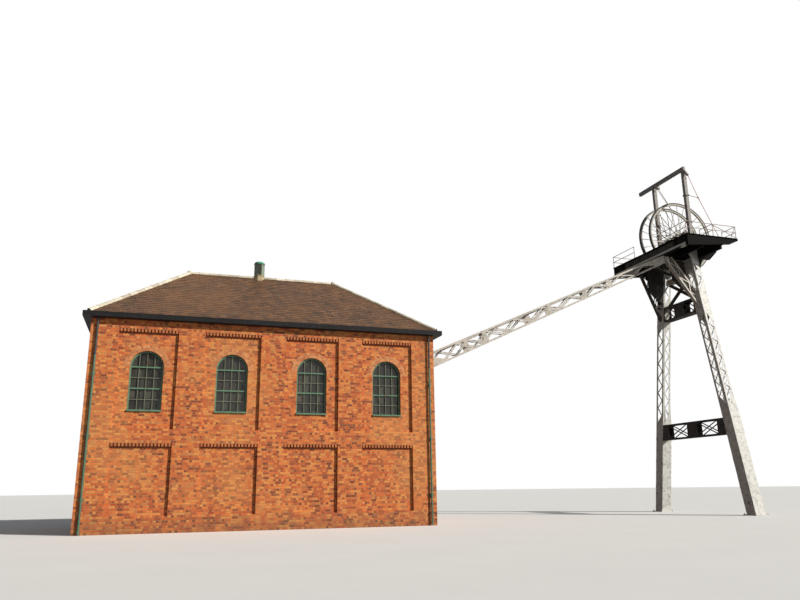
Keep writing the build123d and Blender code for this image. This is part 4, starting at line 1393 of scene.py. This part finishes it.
@dataclass
class Legs:
    """Rivets and butt straps of both legs, nuts on the anchor bolts, and flared plates at the heads."""

    gear: Headgear
    rivet: float = 0.014
    pitch: float = 0.145
    inset: float = 0.045
    casing_seams: tuple[float, ...] = (1.45, 2.85, 4.17)
    lattice_seams: tuple[float, ...] = (10.85, 12.12, 13.88)
    anchor: float = 0.37
    washer_nut_bolt: tuple[tuple[float, float, float, int], ...] = (
        (0.04, 0.046, 0.045, 16), (0.046, 0.074, 0.031, 6), (0.074, 0.105, 0.017, 10))
    plate_low: float = 13.70
    plate_thickness: float = 0.014
    flare_low: float = 13.78
    flare_left: float = 0.62
    flare_right: float = 0.13
    roll_radius: float = 0.026
    roll_levels: tuple[float, ...] = (12.3, 12.9, 13.4)
    stud: float = 0.015

    def corner_rivets(self, mesh: Mesh, leg: Member) -> None:
        """Rows beside the four corners; the outer rows follow the side as it steps in.

        Args:
            mesh: gathers them.
            leg: the near leg.
        """
        s = np.arange(0.12, leg.length - 0.1, self.pitch)
        inner, outer, half = -leg.width / 2, self.gear.leg_side(s), leg.depth / 2
        for sign in SIGNS:
            for u in (inner + self.inset, outer - self.inset):
                mesh.rivets(leg.at(s, u, sign * half), sign * leg.deep(), self.rivet)
            for u, out in ((inner, -leg.across), (outer, leg.across)):
                mesh.rivets(leg.at(s + self.pitch / 2, u, sign * (half - self.inset)), out, self.rivet)

    def head_plate(self) -> Mesh:
        """Plate that widens upward in an arc on the outer face: half width grows as 1 - root of (1 - t squared).

        Returns:
            The near plate with its rolled edge and studs.
        """
        g, mesh, thick = self.gear, Mesh(), self.plate_thickness
        z = np.linspace(self.plate_low, g.leg_height + g.beam_depth - 0.01, 18)
        t = np.clip((z - self.flare_low) / (z[-1] - self.flare_low), 0.0, 1.0) * 0.995
        swell, slope = 1 - np.sqrt(1 - t ** 2), math.tan(g.leg_angle())
        left = g.portal_x + 0.01 - self.flare_left * swell
        right = g.portal_x + g.lattice_width + self.flare_right * swell
        face = np.minimum(g.leg_base + z * slope, g.leg_top) - 0.003
        corners = ((left, 0.0), (left, thick), (right, thick), (right, 0.0))
        mesh.add(np.stack([spots(x, face - out, z) for x, out in corners], 1), wrap(len(z), len(corners)))
        levels = np.array(self.roll_levels)
        lower = spots(g.portal_x + 0.03, g.leg_base + levels * slope - self.roll_radius, levels)
        edge = spots(left + 0.02, face - self.roll_radius, z)
        mesh.tube(np.concatenate([lower, edge]), self.roll_radius, 6)
        studs = [spots(x, face - thick, z)[::2] for x in (left + 0.085, right - 0.045)]
        top = spots((left + right) / 2, face - thick, z)[-1:] - 0.05 * UP
        mesh.rivets(np.concatenate([*studs, top]), (0, -1, 0), self.stud)
        return mesh

    def build(self) -> None:
        """One riveting piece and one head plate for each leg."""
        paint = LegPaintAndShade("headgear_white", (0.66, 0.65, 0.61)).build()
        # The head plates take a lighter white than the same paint on the legs: painted light, since the deck shades
        # them
        plate = Paint("head_plate_white", (0.82, 0.81, 0.77), Wear.KEPT).build()
        dress("near_leg", paint)
        dress("far_leg", paint)
        for piece in self.head_plate().build_pair("leg_head_plate", plate, plate, "steel_paint"):
            turn_outward(piece)
        mesh, leg = Mesh(), self.gear.leg()
        self.corner_rivets(mesh, leg)
        leg.seams(mesh, self.casing_seams, self.rivet)
        self.gear.lattice().seams(mesh, self.lattice_seams, self.rivet)
        for corner_x, corner_y in product(SIGNS, SIGNS):
            middle = leg.start + np.array([corner_x * self.anchor, corner_y * self.anchor, 0.0])
            for low, high, r, sides in self.washer_nut_bolt:
                mesh.add(*lathe([(r, low), (r, high - 0.002), (r * 0.9, high)], middle, sides=sides))
        mesh.build_pair("leg_riveting", paint, paint, "steel_paint")


@dataclass
class CrossFrame:
    """The two cross girders, the top tie and the flat braces between the legs."""

    gear: Headgear
    dark: Material
    girders: tuple[tuple[float, float, float], ...] = ((4.03, 4.91, 0.36), (10.90, 11.75, 0.5))
    rivet: float = 0.013
    inset: float = 0.045
    panel_edge: float = 0.36

    def build(self) -> None:
        """Rivets along all four edges of each girder and down each side of its panels."""
        mesh, line = Mesh(), np.linspace(-1, 1, 6)
        for sizes in self.girders:
            girder = self.gear.cross_girder(*sizes)
            girder.edge_rivets(mesh, 0.14, self.inset, self.rivet, 0.10, girder.length - 0.10)
            for turn, sign in product(SIGNS, SIGNS):
                places = girder.at(girder.length / 2 + turn * self.panel_edge, sign * girder.width / 2,
                                   line * (girder.depth / 2 - 0.13))
                mesh.rivets(places, sign * girder.across, self.rivet)
        mesh.build("cross_girder_riveting", self.dark, "rusted_steel")
        for node in ("low_cross_girder", "head_girder", "head_brace_left", "head_brace_right"):
            dress(node, self.dark)
        dress("top_tie", Paint("top_tie_white", (0.66, 0.64, 0.58)).build())


@dataclass
class Stays:
    """Riveting and joint plates of the backstays and the knee braces."""

    gear: Headgear
    dark: Material
    rivet: float = 0.013
    inset: float = 0.045
    pitch: float = 0.22
    joints: tuple[float, ...] = (4.1, 8.2, 12.3)
    knee_pitch: float = 0.16
    knee_rivet: float = 0.012

    def stay_riveting(self) -> Mesh:
        """Rows beside the straight top chord and the rising lower one, and joint plates on both sides.

        Returns:
            The near stay's rivets and plates.
        """
        mesh, stay = Mesh(), self.gear.backstay()
        up, top = stay.deep() * np.sign(stay.deep()[2]), stay.depth / 2
        s = np.arange(0.30, stay.length - 0.25, self.pitch)
        depth = self.gear.stay_depth_at(s)[:, None]
        line = stay.start + s[:, None] * stay.axis + top * up
        for sign in SIGNS:
            out = sign * stay.across
            side, edge = line + stay.width / 2 * out, line + (stay.width / 2 - self.inset) * out
            mesh.rivets(side - self.inset * up, out, self.rivet)
            mesh.rivets(side - (depth - self.inset) * up, out, self.rivet)
            mesh.rivets(edge, up, self.rivet)
            mesh.rivets(edge - depth * up, -up, self.rivet)
            for place in self.joints:
                half = self.gear.stay_depth_at(place) / 2
                centre = stay.start + place * stay.axis + (top - half) * up + (stay.width / 2 + 0.005) * out
                mesh.blocks(centre, np.array([stay.axis * 0.12, stay.across * 0.005, up * half]))
        return mesh

    def build(self) -> None:
        """One riveting piece for each stay, one for each knee."""
        white = Paint("stay_white", (0.52, 0.485, 0.43)).build()
        iron = Paint("shoe_iron", (0.10, 0.085, 0.075), Wear.RUSTED).build()
        self.stay_riveting().build_pair("backstay_riveting", white, white, "steel_paint")
        mesh, knee = Mesh(), self.gear.knee()
        knee.edge_rivets(mesh, self.knee_pitch, self.inset, self.knee_rivet, 0.40, knee.length - 0.45)
        # The far knee and its rivets take the dark paint and the near ones the white: painted shade on the far knee
        # under the deck
        mesh.build_pair("knee_riveting", white, self.dark, "rusted_steel")
        for place, knee_paint in (("near", white), ("far", self.dark)):
            dress(f"{place}_backstay", white)
            dress(f"{place}_knee_brace", knee_paint)
            dress(f"{place}_stay_shoe", iron)
        dress("backstay_ties", white)


@dataclass
class Deck:
    """Stiffeners and rivets on the platform's girders, and its floor plates."""

    gear: Headgear
    stiffener_pitch: float = 0.84
    stiffener: float = 0.012
    margin: float = 0.02
    end_margin: float = 0.15
    row_margin: float = 0.08
    row_inset: float = 0.045
    column_shift: float = 0.035
    end_web: float = 0.052
    half_web: float = 0.008
    rivet_pitch: float = 0.12
    rivet: float = 0.013
    small_rivet: float = 0.012

    def build(self) -> None:
        """Upright stiffeners on the left girder's web, rivet rows above and below, the same on the front beam."""
        g, mesh = self.gear, Mesh()
        # Near-black painted shade on the platform's frame, with the pale painted highlight line on its left girder
        girder_shade_and_highlight = GirderShadeAndHighlight("deck_painted_shade", (0.0075, 0.007, 0.0065), Wear.KEPT, (0.05, 0.024, 0.013), 0.75,
                           (0.012, 0.011, 0.010), 0.03).build()
        # The floor plates' dark tone is partly rust and partly painted shade for their undersides
        plate = Paint("deck_floor", (0.040, 0.034, 0.030), Wear.RUSTED, (0.060, 0.028, 0.015), 0.8, gloss=0.05).build()
        dress("deck_frame", girder_shade_and_highlight)
        dress("near_deck_plate", plate)
        dress("far_deck_plate", plate)
        low, high = g.leg_height + self.margin, g.leg_height + g.beam_depth - self.margin
        front, rear = g.deck_front, 2 * g.middle_y - g.deck_front
        web = g.deck_left + g.beam_width / 2 - self.half_web
        first, last = front + self.end_margin, rear - self.end_margin
        ys = np.linspace(first, last, round((last - first) / self.stiffener_pitch) + 1)
        mesh.blocks(spots((web + g.deck_left) / 2, ys, (low + high) / 2),
                    aligned(web - g.deck_left - 0.004, self.stiffener, high - low))
        rows = np.arange(front + self.row_margin, rear - self.row_margin, self.rivet_pitch)
        for z in (low + self.row_inset, high - self.row_inset):
            mesh.rivets(spots(web, rows, z), (-1, 0, 0), self.rivet)
        for z in np.linspace(low + 0.1, high - 0.1, 5):
            mesh.rivets(spots(web, ys + self.column_shift, z), (-1, 0, 0), self.small_rivet)
        xs = np.arange(g.deck_left + self.end_margin, g.deck_right - 0.05, self.rivet_pitch)
        for y, out in ((front + self.end_web, -1), (rear - self.end_web, 1)):
            mesh.rivets(spots(xs, y, high - 0.04), (0, out, 0), self.small_rivet)
        mesh.build("deck_riveting", girder_shade_and_highlight, "rusted_steel")


@dataclass
class Handrails:
    """Round tube rails with ball joints at the standards and small foot flanges."""

    gear: Headgear
    height: float = 0.72
    radius: float = 0.018
    inset: float = 0.05
    back: float = 1.0
    lean: float = 0.35
    inner_end: float = 2.9635
    foot_rise: float = 0.012
    rail_drop: float = 0.02
    ball_drop: float = 0.030
    brace_inset: float = 0.04
    ball: tuple[tuple[float, float], ...] = (
        (0.004, -0.030), (0.020, -0.024), (0.029, -0.008), (0.029, 0.008), (0.020, 0.024), (0.004, 0.030))
    flange: tuple[tuple[float, float], ...] = ((0.045, 0.0), (0.045, 0.010), (0.024, 0.014), (0.022, 0.030))

    def build(self) -> None:
        """Tubes for rails and braces, balls where a rail meets a standard."""
        g, mesh = self.gear, Mesh()
        x0, x1, xm = g.deck_left + self.inset, g.deck_right - self.inset, g.portal_x + self.inset
        y0, y1, y2 = g.deck_front + self.inset, g.deck_front + self.inset + self.back, self.inner_end
        floor, top = g.deck_top, g.deck_top + self.height
        for x, y in ((x0, y0), (xm, y0), (x1, y0), (x0, y2), (xm, y1), (x1, y1)):
            mesh.tube([(x, y, floor + self.foot_rise), (x, y, top - self.rail_drop)], self.radius)
            mesh.add(*lathe(self.flange, (x, y, floor), sides=14))
            for z in (floor + self.height / 2, top - self.ball_drop):
                mesh.add(*lathe(self.ball, (x, y, z), sides=12))
        rails = [((x0, y0), (x1, y0)), ((x0, y0), (x0, y2)), ((xm, y0), (xm, y1)), ((x1, y0), (x1, y1))]
        for z, (start, end) in product((floor + self.height / 2, top - self.rail_drop), rails):
            mesh.tube([(*start, z), (*end, z)], self.radius)
        for x, foot_x in ((xm, x1), (x1, x1 - self.lean)):
            ends = [(x, y0, top - self.brace_inset), (foot_x, y0, floor + self.brace_inset)]
            mesh.tube(ends, self.radius)
        paint = Paint("rail_faded", (0.46, 0.36, 0.33)).build()
        for place, piece in zip(("near", "far"), mesh.build_pair("handrail_tubes", paint, paint, "rail_paint")):
            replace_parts(piece, f"{place}_handrail")


@dataclass
class Sheave:
    """A rope sheave: grooved rim, round spokes in two cones, flanged hub, keyed shaft."""

    gear: Headgear
    place: str
    pale: Material
    dark: Material
    radius: float = 2.135
    half_rim: float = 0.075
    rim: tuple[tuple[float, float], ...] = (
        (0.150, 0.55), (0.135, 0.72), (0.020, 0.96), (0.004, 0.98), (0.0, 0.86), (0.012, 0.66), (0.072, 0.22))
    groove: float = 0.085
    spoke_count: int = 24
    spoke_side: float = 0.106
    spoke_radii: tuple[float, ...] = (0.027, 0.021, 0.019, 0.028)
    hub: tuple[tuple[float, float], ...] = (
        (0.078, 0.15), (0.150, 0.15), (0.160, 0.140), (0.165, 0.125), (0.232, 0.120), (0.240, 0.112), (0.240, 0.090),
        (0.228, 0.080), (0.185, 0.072), (0.172, 0.040))
    hub_waist: float = 0.168
    shaft: float = 0.0798
    shaft_reach: float = 3.1434
    key: float = 0.155

    def both_ways(self, half: Sequence[tuple[float, float]], middle: tuple[float, float]) -> list[tuple[float, float]]:
        """A whole profile from its lower half, given with heights upward, and its middle row."""
        return [(r, -h) for r, h in half] + [middle] + list(half)[::-1]

    def wheel_piece(self, mesh: Mesh, part: str, paint: Material, smooth: bool) -> bpy.types.Object:
        """One piece that rides on this sheave's wheel."""
        return mesh.build(f"{self.place}_sheave_{part}", paint, "sheave_paint", f"{self.place}_wheel", smooth)

    def build(self) -> None:
        """Rim from a closed profile, spokes as tubes from the hub's flanges to the rim's middle."""
        g, sign, axis = self.gear, -1 if self.place == "near" else 1, (0, 1, 0)
        centre = np.array([g.axis_x, g.middle_y + sign * g.sheave_spacing / 2, g.sheave_z])
        r, mesh = self.radius, Mesh()
        half = [(r - depth, share * self.half_rim) for depth, share in self.rim]
        mesh.add(*lathe(self.both_ways(half, (r - self.groove, 0.0)), centre, axis, 112, closed=True))
        rim = self.wheel_piece(mesh, "rim", self.pale, True)
        rim.data.set_sharp_from_angle(angle=math.radians(30.0))
        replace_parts(rim, f"{self.place}_sheave")
        mesh = Mesh()
        for i in range(self.spoke_count):
            turn = 2 * math.pi * i / self.spoke_count
            out = np.array([math.cos(turn), 0.0, math.sin(turn)])
            side = np.array([0.0, self.spoke_side if i % 2 else -self.spoke_side, 0.0])
            path = [out * 0.19 + side, out * 0.30 + side * 0.94, out * (r - 0.185) + side * 0.04, out * (r - 0.135)]
            mesh.tube(centre + path, self.spoke_radii)
        self.wheel_piece(mesh, "spokes", self.pale, True)
        mesh = Mesh()
        mesh.add(*lathe(self.both_ways(self.hub, (self.hub_waist, 0.0)), centre, axis, 40))
        low, high = sorted((sign * (g.middle_y - g.sheave_spacing / 2 - self.shaft_reach),
                            -sign * (g.sheave_spacing - g.bearing_gap) / 2))
        rows = [(0.070, low), (self.shaft, low + 0.012), (self.shaft, high - 0.012), (0.070, high)]
        mesh.add(*lathe(rows, centre, axis, 32))
        for offset in (-self.key, self.key):
            mesh.blocks(centre + [0.0, offset, 0.082], aligned(0.036, 0.05, 0.034))
        self.wheel_piece(mesh, "hub", self.dark, False)


@dataclass
class PlummerBlocks:
    """Cap joints, cap bolts and oil cups of the four bearings."""

    gear: Headgear
    lug: tuple[float, float, float] = (0.13, 0.14, 0.042)
    lug_x: float = 0.235
    foot_x: float = 0.36
    nut: tuple[tuple[float, float], ...] = ((0.026, 0.0), (0.026, 0.022), (0.022, 0.026))
    bolt: tuple[tuple[float, float], ...] = ((0.013, 0.02), (0.013, 0.050), (0.009, 0.055))
    foot_nut: tuple[tuple[float, float], ...] = ((0.030, 0.0), (0.030, 0.028), (0.024, 0.032))
    cup: tuple[tuple[float, float], ...] = ((0.030, 0.190), (0.030, 0.205), (0.020, 0.212), (0.020, 0.232),
                                            (0.038, 0.240), (0.038, 0.290), (0.030, 0.298))

    def build(self) -> None:
        """Bolts stand beside the shaft on lugs, an oil cup on top."""
        g = self.gear
        iron = Paint("bearing_iron", (0.17, 0.15, 0.13), Wear.RUSTED, rough=0.55).build()
        places = {"outer": g.leg_top + g.leg_across() - g.bearing_width / 2,
                  "inner": g.middle_y - g.bearing_gap / 2 - g.bearing_width / 2}
        for name, y in places.items():
            mesh = Mesh()
            for side in SIGNS:
                lug = np.array([g.axis_x + side * self.lug_x, y, g.sheave_z])
                mesh.blocks([lug - 0.022 * UP, lug + 0.022 * UP], aligned(*self.lug))
                for shift in (-0.038, 0.038):
                    stud = lug + [0.01 * side, shift, 0.043]
                    mesh.add(*lathe(self.nut, stud, sides=6))
                    mesh.add(*lathe(self.bolt, stud, sides=10))
                mesh.add(*lathe(self.foot_nut, (g.axis_x + side * self.foot_x, y, g.deck_top + 0.07), sides=6))
            mesh.add(*lathe(self.cup, (g.axis_x, y, g.sheave_z), sides=16))
            mesh.build_pair(f"{name}_bearing_bolts", iron, iron, "cast_iron")
            dress(f"near_{name}_bearing", iron)
            dress(f"far_{name}_bearing", iron)


@dataclass
class Gantry:
    """Collar bolts of the lifting gantry, the round stay with its eyes, and the chain hoist."""

    gear: Headgear
    height: float = 19.75
    near_y: float = 2.85
    collar_levels: tuple[float, ...] = (16.3, 17.95)
    collar: float = 0.13
    collar_bolt: float = 0.09
    foot_bolt: float = 0.125
    nut: tuple[tuple[float, float], ...] = ((0.020, 0.0), (0.020, 0.016), (0.016, 0.019))
    rod_shares: tuple[float, ...] = (0.0, 0.001, 0.07, 0.075, 0.925, 0.93, 0.999, 1.0)
    rod_radii: tuple[float, ...] = (0.019, 0.019, 0.019, 0.0145, 0.0145, 0.019, 0.019, 0.019)
    eye: tuple[tuple[float, float], ...] = (
        (0.008, -0.022), (0.034, -0.022), (0.038, -0.015), (0.038, 0.015), (0.034, 0.022), (0.008, 0.022))
    post: float = 0.1
    top_out: float = 0.24
    top_drop: float = 0.66
    knee_out: float = 0.95
    knee_drop: float = 0.54
    foot_right: float = 0.15
    foot_back: float = 0.09
    seat: float = 0.004
    hoist_y: float = 5.21
    hoist_drop: float = 0.23
    drum_drop: float = 0.13
    cheek: tuple[float, float, float] = (0.012, 0.12, 0.11)
    cheek_rise: float = 0.075
    trolley: tuple[float, float, float] = (0.16, 0.18, 0.024)
    trolley_rise: float = 0.118
    fall: float = 0.055
    fall_start: float = -0.07
    fall_end: tuple[float, float] = (0.012, 0.03)
    hook_reach: float = 0.96
    hook_drop: float = 1.91
    hook_hang: float = 0.075
    drum: tuple[tuple[float, float], ...] = (
        (0.07, -0.105), (0.10, -0.100), (0.108, -0.07), (0.108, 0.07), (0.10, 0.100), (0.07, 0.105))
    hook_block: tuple[tuple[float, float], ...] = ((0.03, -0.04), (0.050, -0.034), (0.050, 0.034), (0.03, 0.04))
    hook_bend: float = 0.032
    link_pitch: float = 0.058
    link_wire: float = 0.0065
    link_sides: tuple[int, int] = (12, 6)

    def stay(self) -> None:
        """Three round rods that meet in an eye at the spreader, with thicker screwed ends."""
        g, mesh, level, face = self.gear, Mesh(), self.collar_levels[-1], self.near_y - self.post
        knee = np.array([g.axis_x, self.near_y - self.knee_out, level - self.knee_drop])
        top = (g.axis_x, face - self.top_out, self.height - self.top_drop)
        foot = (g.axis_x + self.foot_right, g.deck_front + self.foot_back, g.deck_top + self.seat)
        root = (g.axis_x, face + self.seat, level)
        for start, end in ((top, knee), (knee, foot), (knee, root)):
            mesh.tube(start + np.outer(self.rod_shares, np.subtract(end, start)), self.rod_radii)
        mesh.add(*lathe(self.eye, knee, (1, 0, 0), 20))
        red = Paint("stay_red", (0.40, 0.085, 0.045)).build()
        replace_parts(mesh.build("gantry_stay_rods", red, "red_paint"), "gantry_stay")

    def links(self, mesh: Mesh, start: np.ndarray, end: np.ndarray) -> None:
        """Chain: each link is a stretched ring, turned a quarter from the last.

        Args:
            mesh: gathers the links.
            start: top of the chain.
            end: bottom of the chain.
        """
        step, first = unit(end - start), np.array([1.0, 0.0, 0.0])
        second, pitch, wire = np.cross(step, first), self.link_pitch, self.link_wire
        around, turn = (np.linspace(0, 2 * np.pi, sides, endpoint=False)[:, None] for sides in self.link_sides)
        long, short = pitch * 0.5 + wire * 1.1, pitch * 0.40
        for i in range(int(np.linalg.norm(end - start) / pitch)):
            side, up = (first, second) if i % 2 else (second, first)
            spine = start + step * pitch * (i + 0.5) + np.cos(around) * step * long + np.sin(around) * side * short
            out = np.cos(around) * step + np.sin(around) * side
            mesh.add(spine[:, None] + wire * (np.cos(turn) * out[:, None] + np.sin(turn) * up),
                     wrap(*self.link_sides, closed=True))

    def hoist(self) -> None:
        """Chain block with cheeks and a trolley, two falls of links, bottom block and hook."""
        g, mesh, top = self.gear, Mesh(), self.height - self.hoist_drop
        middle = np.array([g.axis_x, self.hoist_y, top - self.drum_drop])
        hook = np.array([g.axis_x, self.hoist_y - self.hook_reach, top - self.hook_drop])
        mesh.add(*lathe(self.drum, middle, (1, 0, 0), 28))
        mesh.blocks([middle + [side * self.fall, 0.0, self.cheek_rise] for side in SIGNS], aligned(*self.cheek))
        mesh.blocks(middle + self.trolley_rise * UP, aligned(*self.trolley))
        end, rise = self.fall_end
        for side in SIGNS:
            self.links(mesh, middle + [0.0, side * self.fall, self.fall_start], hook + [0.0, side * end, rise])
        mesh.add(*lathe(self.hook_block, hook, (1, 0, 0), 20))
        turn = np.radians(np.linspace(90, -150, 17))
        path = hook - self.hook_hang * UP + self.hook_bend * spots(0.0, np.cos(turn), np.sin(turn))
        mesh.tube(path, np.linspace(0.010, 0.005, len(path)))
        steel = Paint("hoist_pale", (0.42, 0.40, 0.34), rough=0.4).build()
        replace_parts(mesh.build("chain_hoist_links", steel, "hoist_steel"), "chain_hoist")

    def build(self) -> None:
        """Dresses the posts and beam and adds bolts at the collars and feet."""
        g, mesh, paint = self.gear, Mesh(), Paint("gantry_grey", (0.30, 0.285, 0.27), rough=0.6).build()
        dress("lifting_gantry", paint)
        for y in (self.near_y, 2 * g.middle_y - self.near_y):
            for z, side, shift in product(self.collar_levels, SIGNS, (-self.collar_bolt, self.collar_bolt)):
                mesh.add(*lathe(self.nut, (g.axis_x + shift, y + side * self.collar, z), (0, side, 0), 6))
                mesh.add(*lathe(self.nut, (g.axis_x + side * self.collar, y + shift, z), (side, 0, 0), 6))
            for x_sign, y_sign in product(SIGNS, SIGNS):
                corner = (g.axis_x + x_sign * self.foot_bolt, y + y_sign * self.foot_bolt, g.deck_top + 0.02)
                mesh.add(*lathe(self.nut, corner, sides=6))
        mesh.build("gantry_bolts", paint, "gantry_paint")
        self.stay()
        self.hoist()


# Camera, light and floor

@dataclass(frozen=True)
class Studio:
    """Camera as solved from the photograph, one soft sun, pale sky light and a pale floor."""

    place: tuple[float, float, float] = (2.7556, -29.2410, 1.5240)
    yaw: float = 18.3912
    pitch: float = 14.6186
    roll: float = -0.6778
    lens: float = 32.403
    sensor: float = 36.0
    far_limit: float = 2000.0
    floor_radius: float = 400.0
    floor_sides: int = 96
    floor_drop: float = 0.001

    def camera(self) -> None:
        """Columns of the camera's turn: right, up and backward, after the roll."""
        yaw, pitch, roll = (math.radians(v) for v in (self.yaw, self.pitch, self.roll))
        forward = Vector((math.sin(yaw) * math.cos(pitch), math.cos(yaw) * math.cos(pitch), math.sin(pitch)))
        right = Vector((math.cos(yaw), -math.sin(yaw), 0.0))
        up = right.cross(forward)
        rolled = math.cos(roll) * right + math.sin(roll) * up
        upright = math.cos(roll) * up - math.sin(roll) * right
        turn = Matrix((rolled, upright, -forward)).transposed().to_4x4()
        data = bpy.data.cameras.new("camera")
        data.lens, data.sensor_width, data.clip_end = self.lens, self.sensor, self.far_limit
        camera = bpy.data.objects.new("camera", data)
        camera.matrix_world = Matrix.Translation(Vector(self.place) + Vector(ORIGIN)) @ turn
        bpy.context.scene.collection.objects.link(camera)
        bpy.context.scene.camera = camera

    def lamp(self, name: str, energy: float, spread: float, colour: Colour, travel: Colour) -> None:
        """A distant lamp.

        Args:
            name: its name.
            energy: its strength.
            spread: its breadth on the sky in degrees.
            colour: its colour.
            travel: the way its light goes.
        """
        data = bpy.data.lights.new(name, "SUN")
        data.energy, data.angle, data.color = energy, math.radians(spread), colour
        lamp = bpy.data.objects.new(name, data)
        lamp.rotation_mode = "QUATERNION"
        lamp.rotation_quaternion = Vector(travel).to_track_quat("-Z", "Y")
        bpy.context.scene.collection.objects.link(lamp)

    def sky(self) -> None:
        """White where a camera, glass or mirror ray meets it, a faint blue light everywhere else."""
        world = bpy.data.worlds.new("sky")
        bpy.context.scene.world = world
        world.use_nodes = True
        n = Nodes(world)
        n.tree.nodes.clear()
        fill = n.node("Background", {"Color": (0.80, 0.88, 1.0), "Strength": 0.09})
        white = n.node("Background", {"Color": (1.0, 1.0, 1.0), "Strength": 1.0})
        n.node("OutputWorld", {"Surface": n.node("MixShader", {0: n.seen(), 1: fill, 2: white})})

    def floor(self) -> None:
        """A wide, pale, slightly mottled disc on the ground."""
        turn = np.linspace(0, 2 * np.pi, self.floor_sides, endpoint=False)
        points = spots(self.floor_radius * np.cos(turn), self.floor_radius * np.sin(turn), -self.floor_drop)
        mesh = bpy.data.meshes.new("floor")
        mesh.from_pydata(points.tolist(), [], [list(range(self.floor_sides))])
        floor = bpy.data.objects.new("floor", mesh)
        bpy.context.scene.collection.objects.link(floor)
        n = Nodes(bpy.data.materials.new("pale_floor"))
        colour = n.mix(n.noise(0.4, 3.0), (0.82, 0.82, 0.81), (0.88, 0.88, 0.87))
        mesh.materials.append(n.finish(n.mix(n.seen(), (0.12, 0.12, 0.115), colour), 0.9))

    def build(self) -> None:
        """Camera, lights, sky and floor."""
        self.camera()
        self.lamp("sun", 4.3, 3.0, (1.0, 0.96, 0.89), (-0.60, 0.56, -0.46))
        self.lamp("front_fill", 1.15, 40.0, (1.0, 0.98, 0.95), (-0.25, 1.0, 0.10))
        self.sky()
        self.floor()
        bpy.context.scene.view_settings.view_transform = "Standard"


def main() -> None:
    """Builds the scene class by class."""
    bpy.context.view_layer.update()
    Studio().build()
    log.info("studio ready")
    house, gear = House(), Headgear()
    dark = Paint("headgear_dark", (0.070, 0.066, 0.062), Wear.RUSTED, (0.075, 0.036, 0.020), 0.7, gloss=0.08).build()
    rim_paint = RimPaint("sheave_pale", (0.62, 0.59, 0.52), rough=0.55).build()
    hub_paint = Paint("sheave_groove", (0.14, 0.12, 0.105), Wear.RUSTED).build()
    parts = [Walls(house), Windows(house), SlateRoof(house), Rainwater(house), Ventilator(), Legs(gear),
             CrossFrame(gear, dark), Stays(gear, dark), Deck(gear), Handrails(gear),
             Sheave(gear, "near", rim_paint, hub_paint), Sheave(gear, "far", rim_paint, hub_paint),
             PlummerBlocks(gear), Gantry(gear)]
    for part in parts:
        part.build()
        log.info("built %s", type(part).__name__)
    dress("engine_floor", Screed().build())


if __name__ == "__main__":
    logging.basicConfig(level=logging.INFO)
    main()
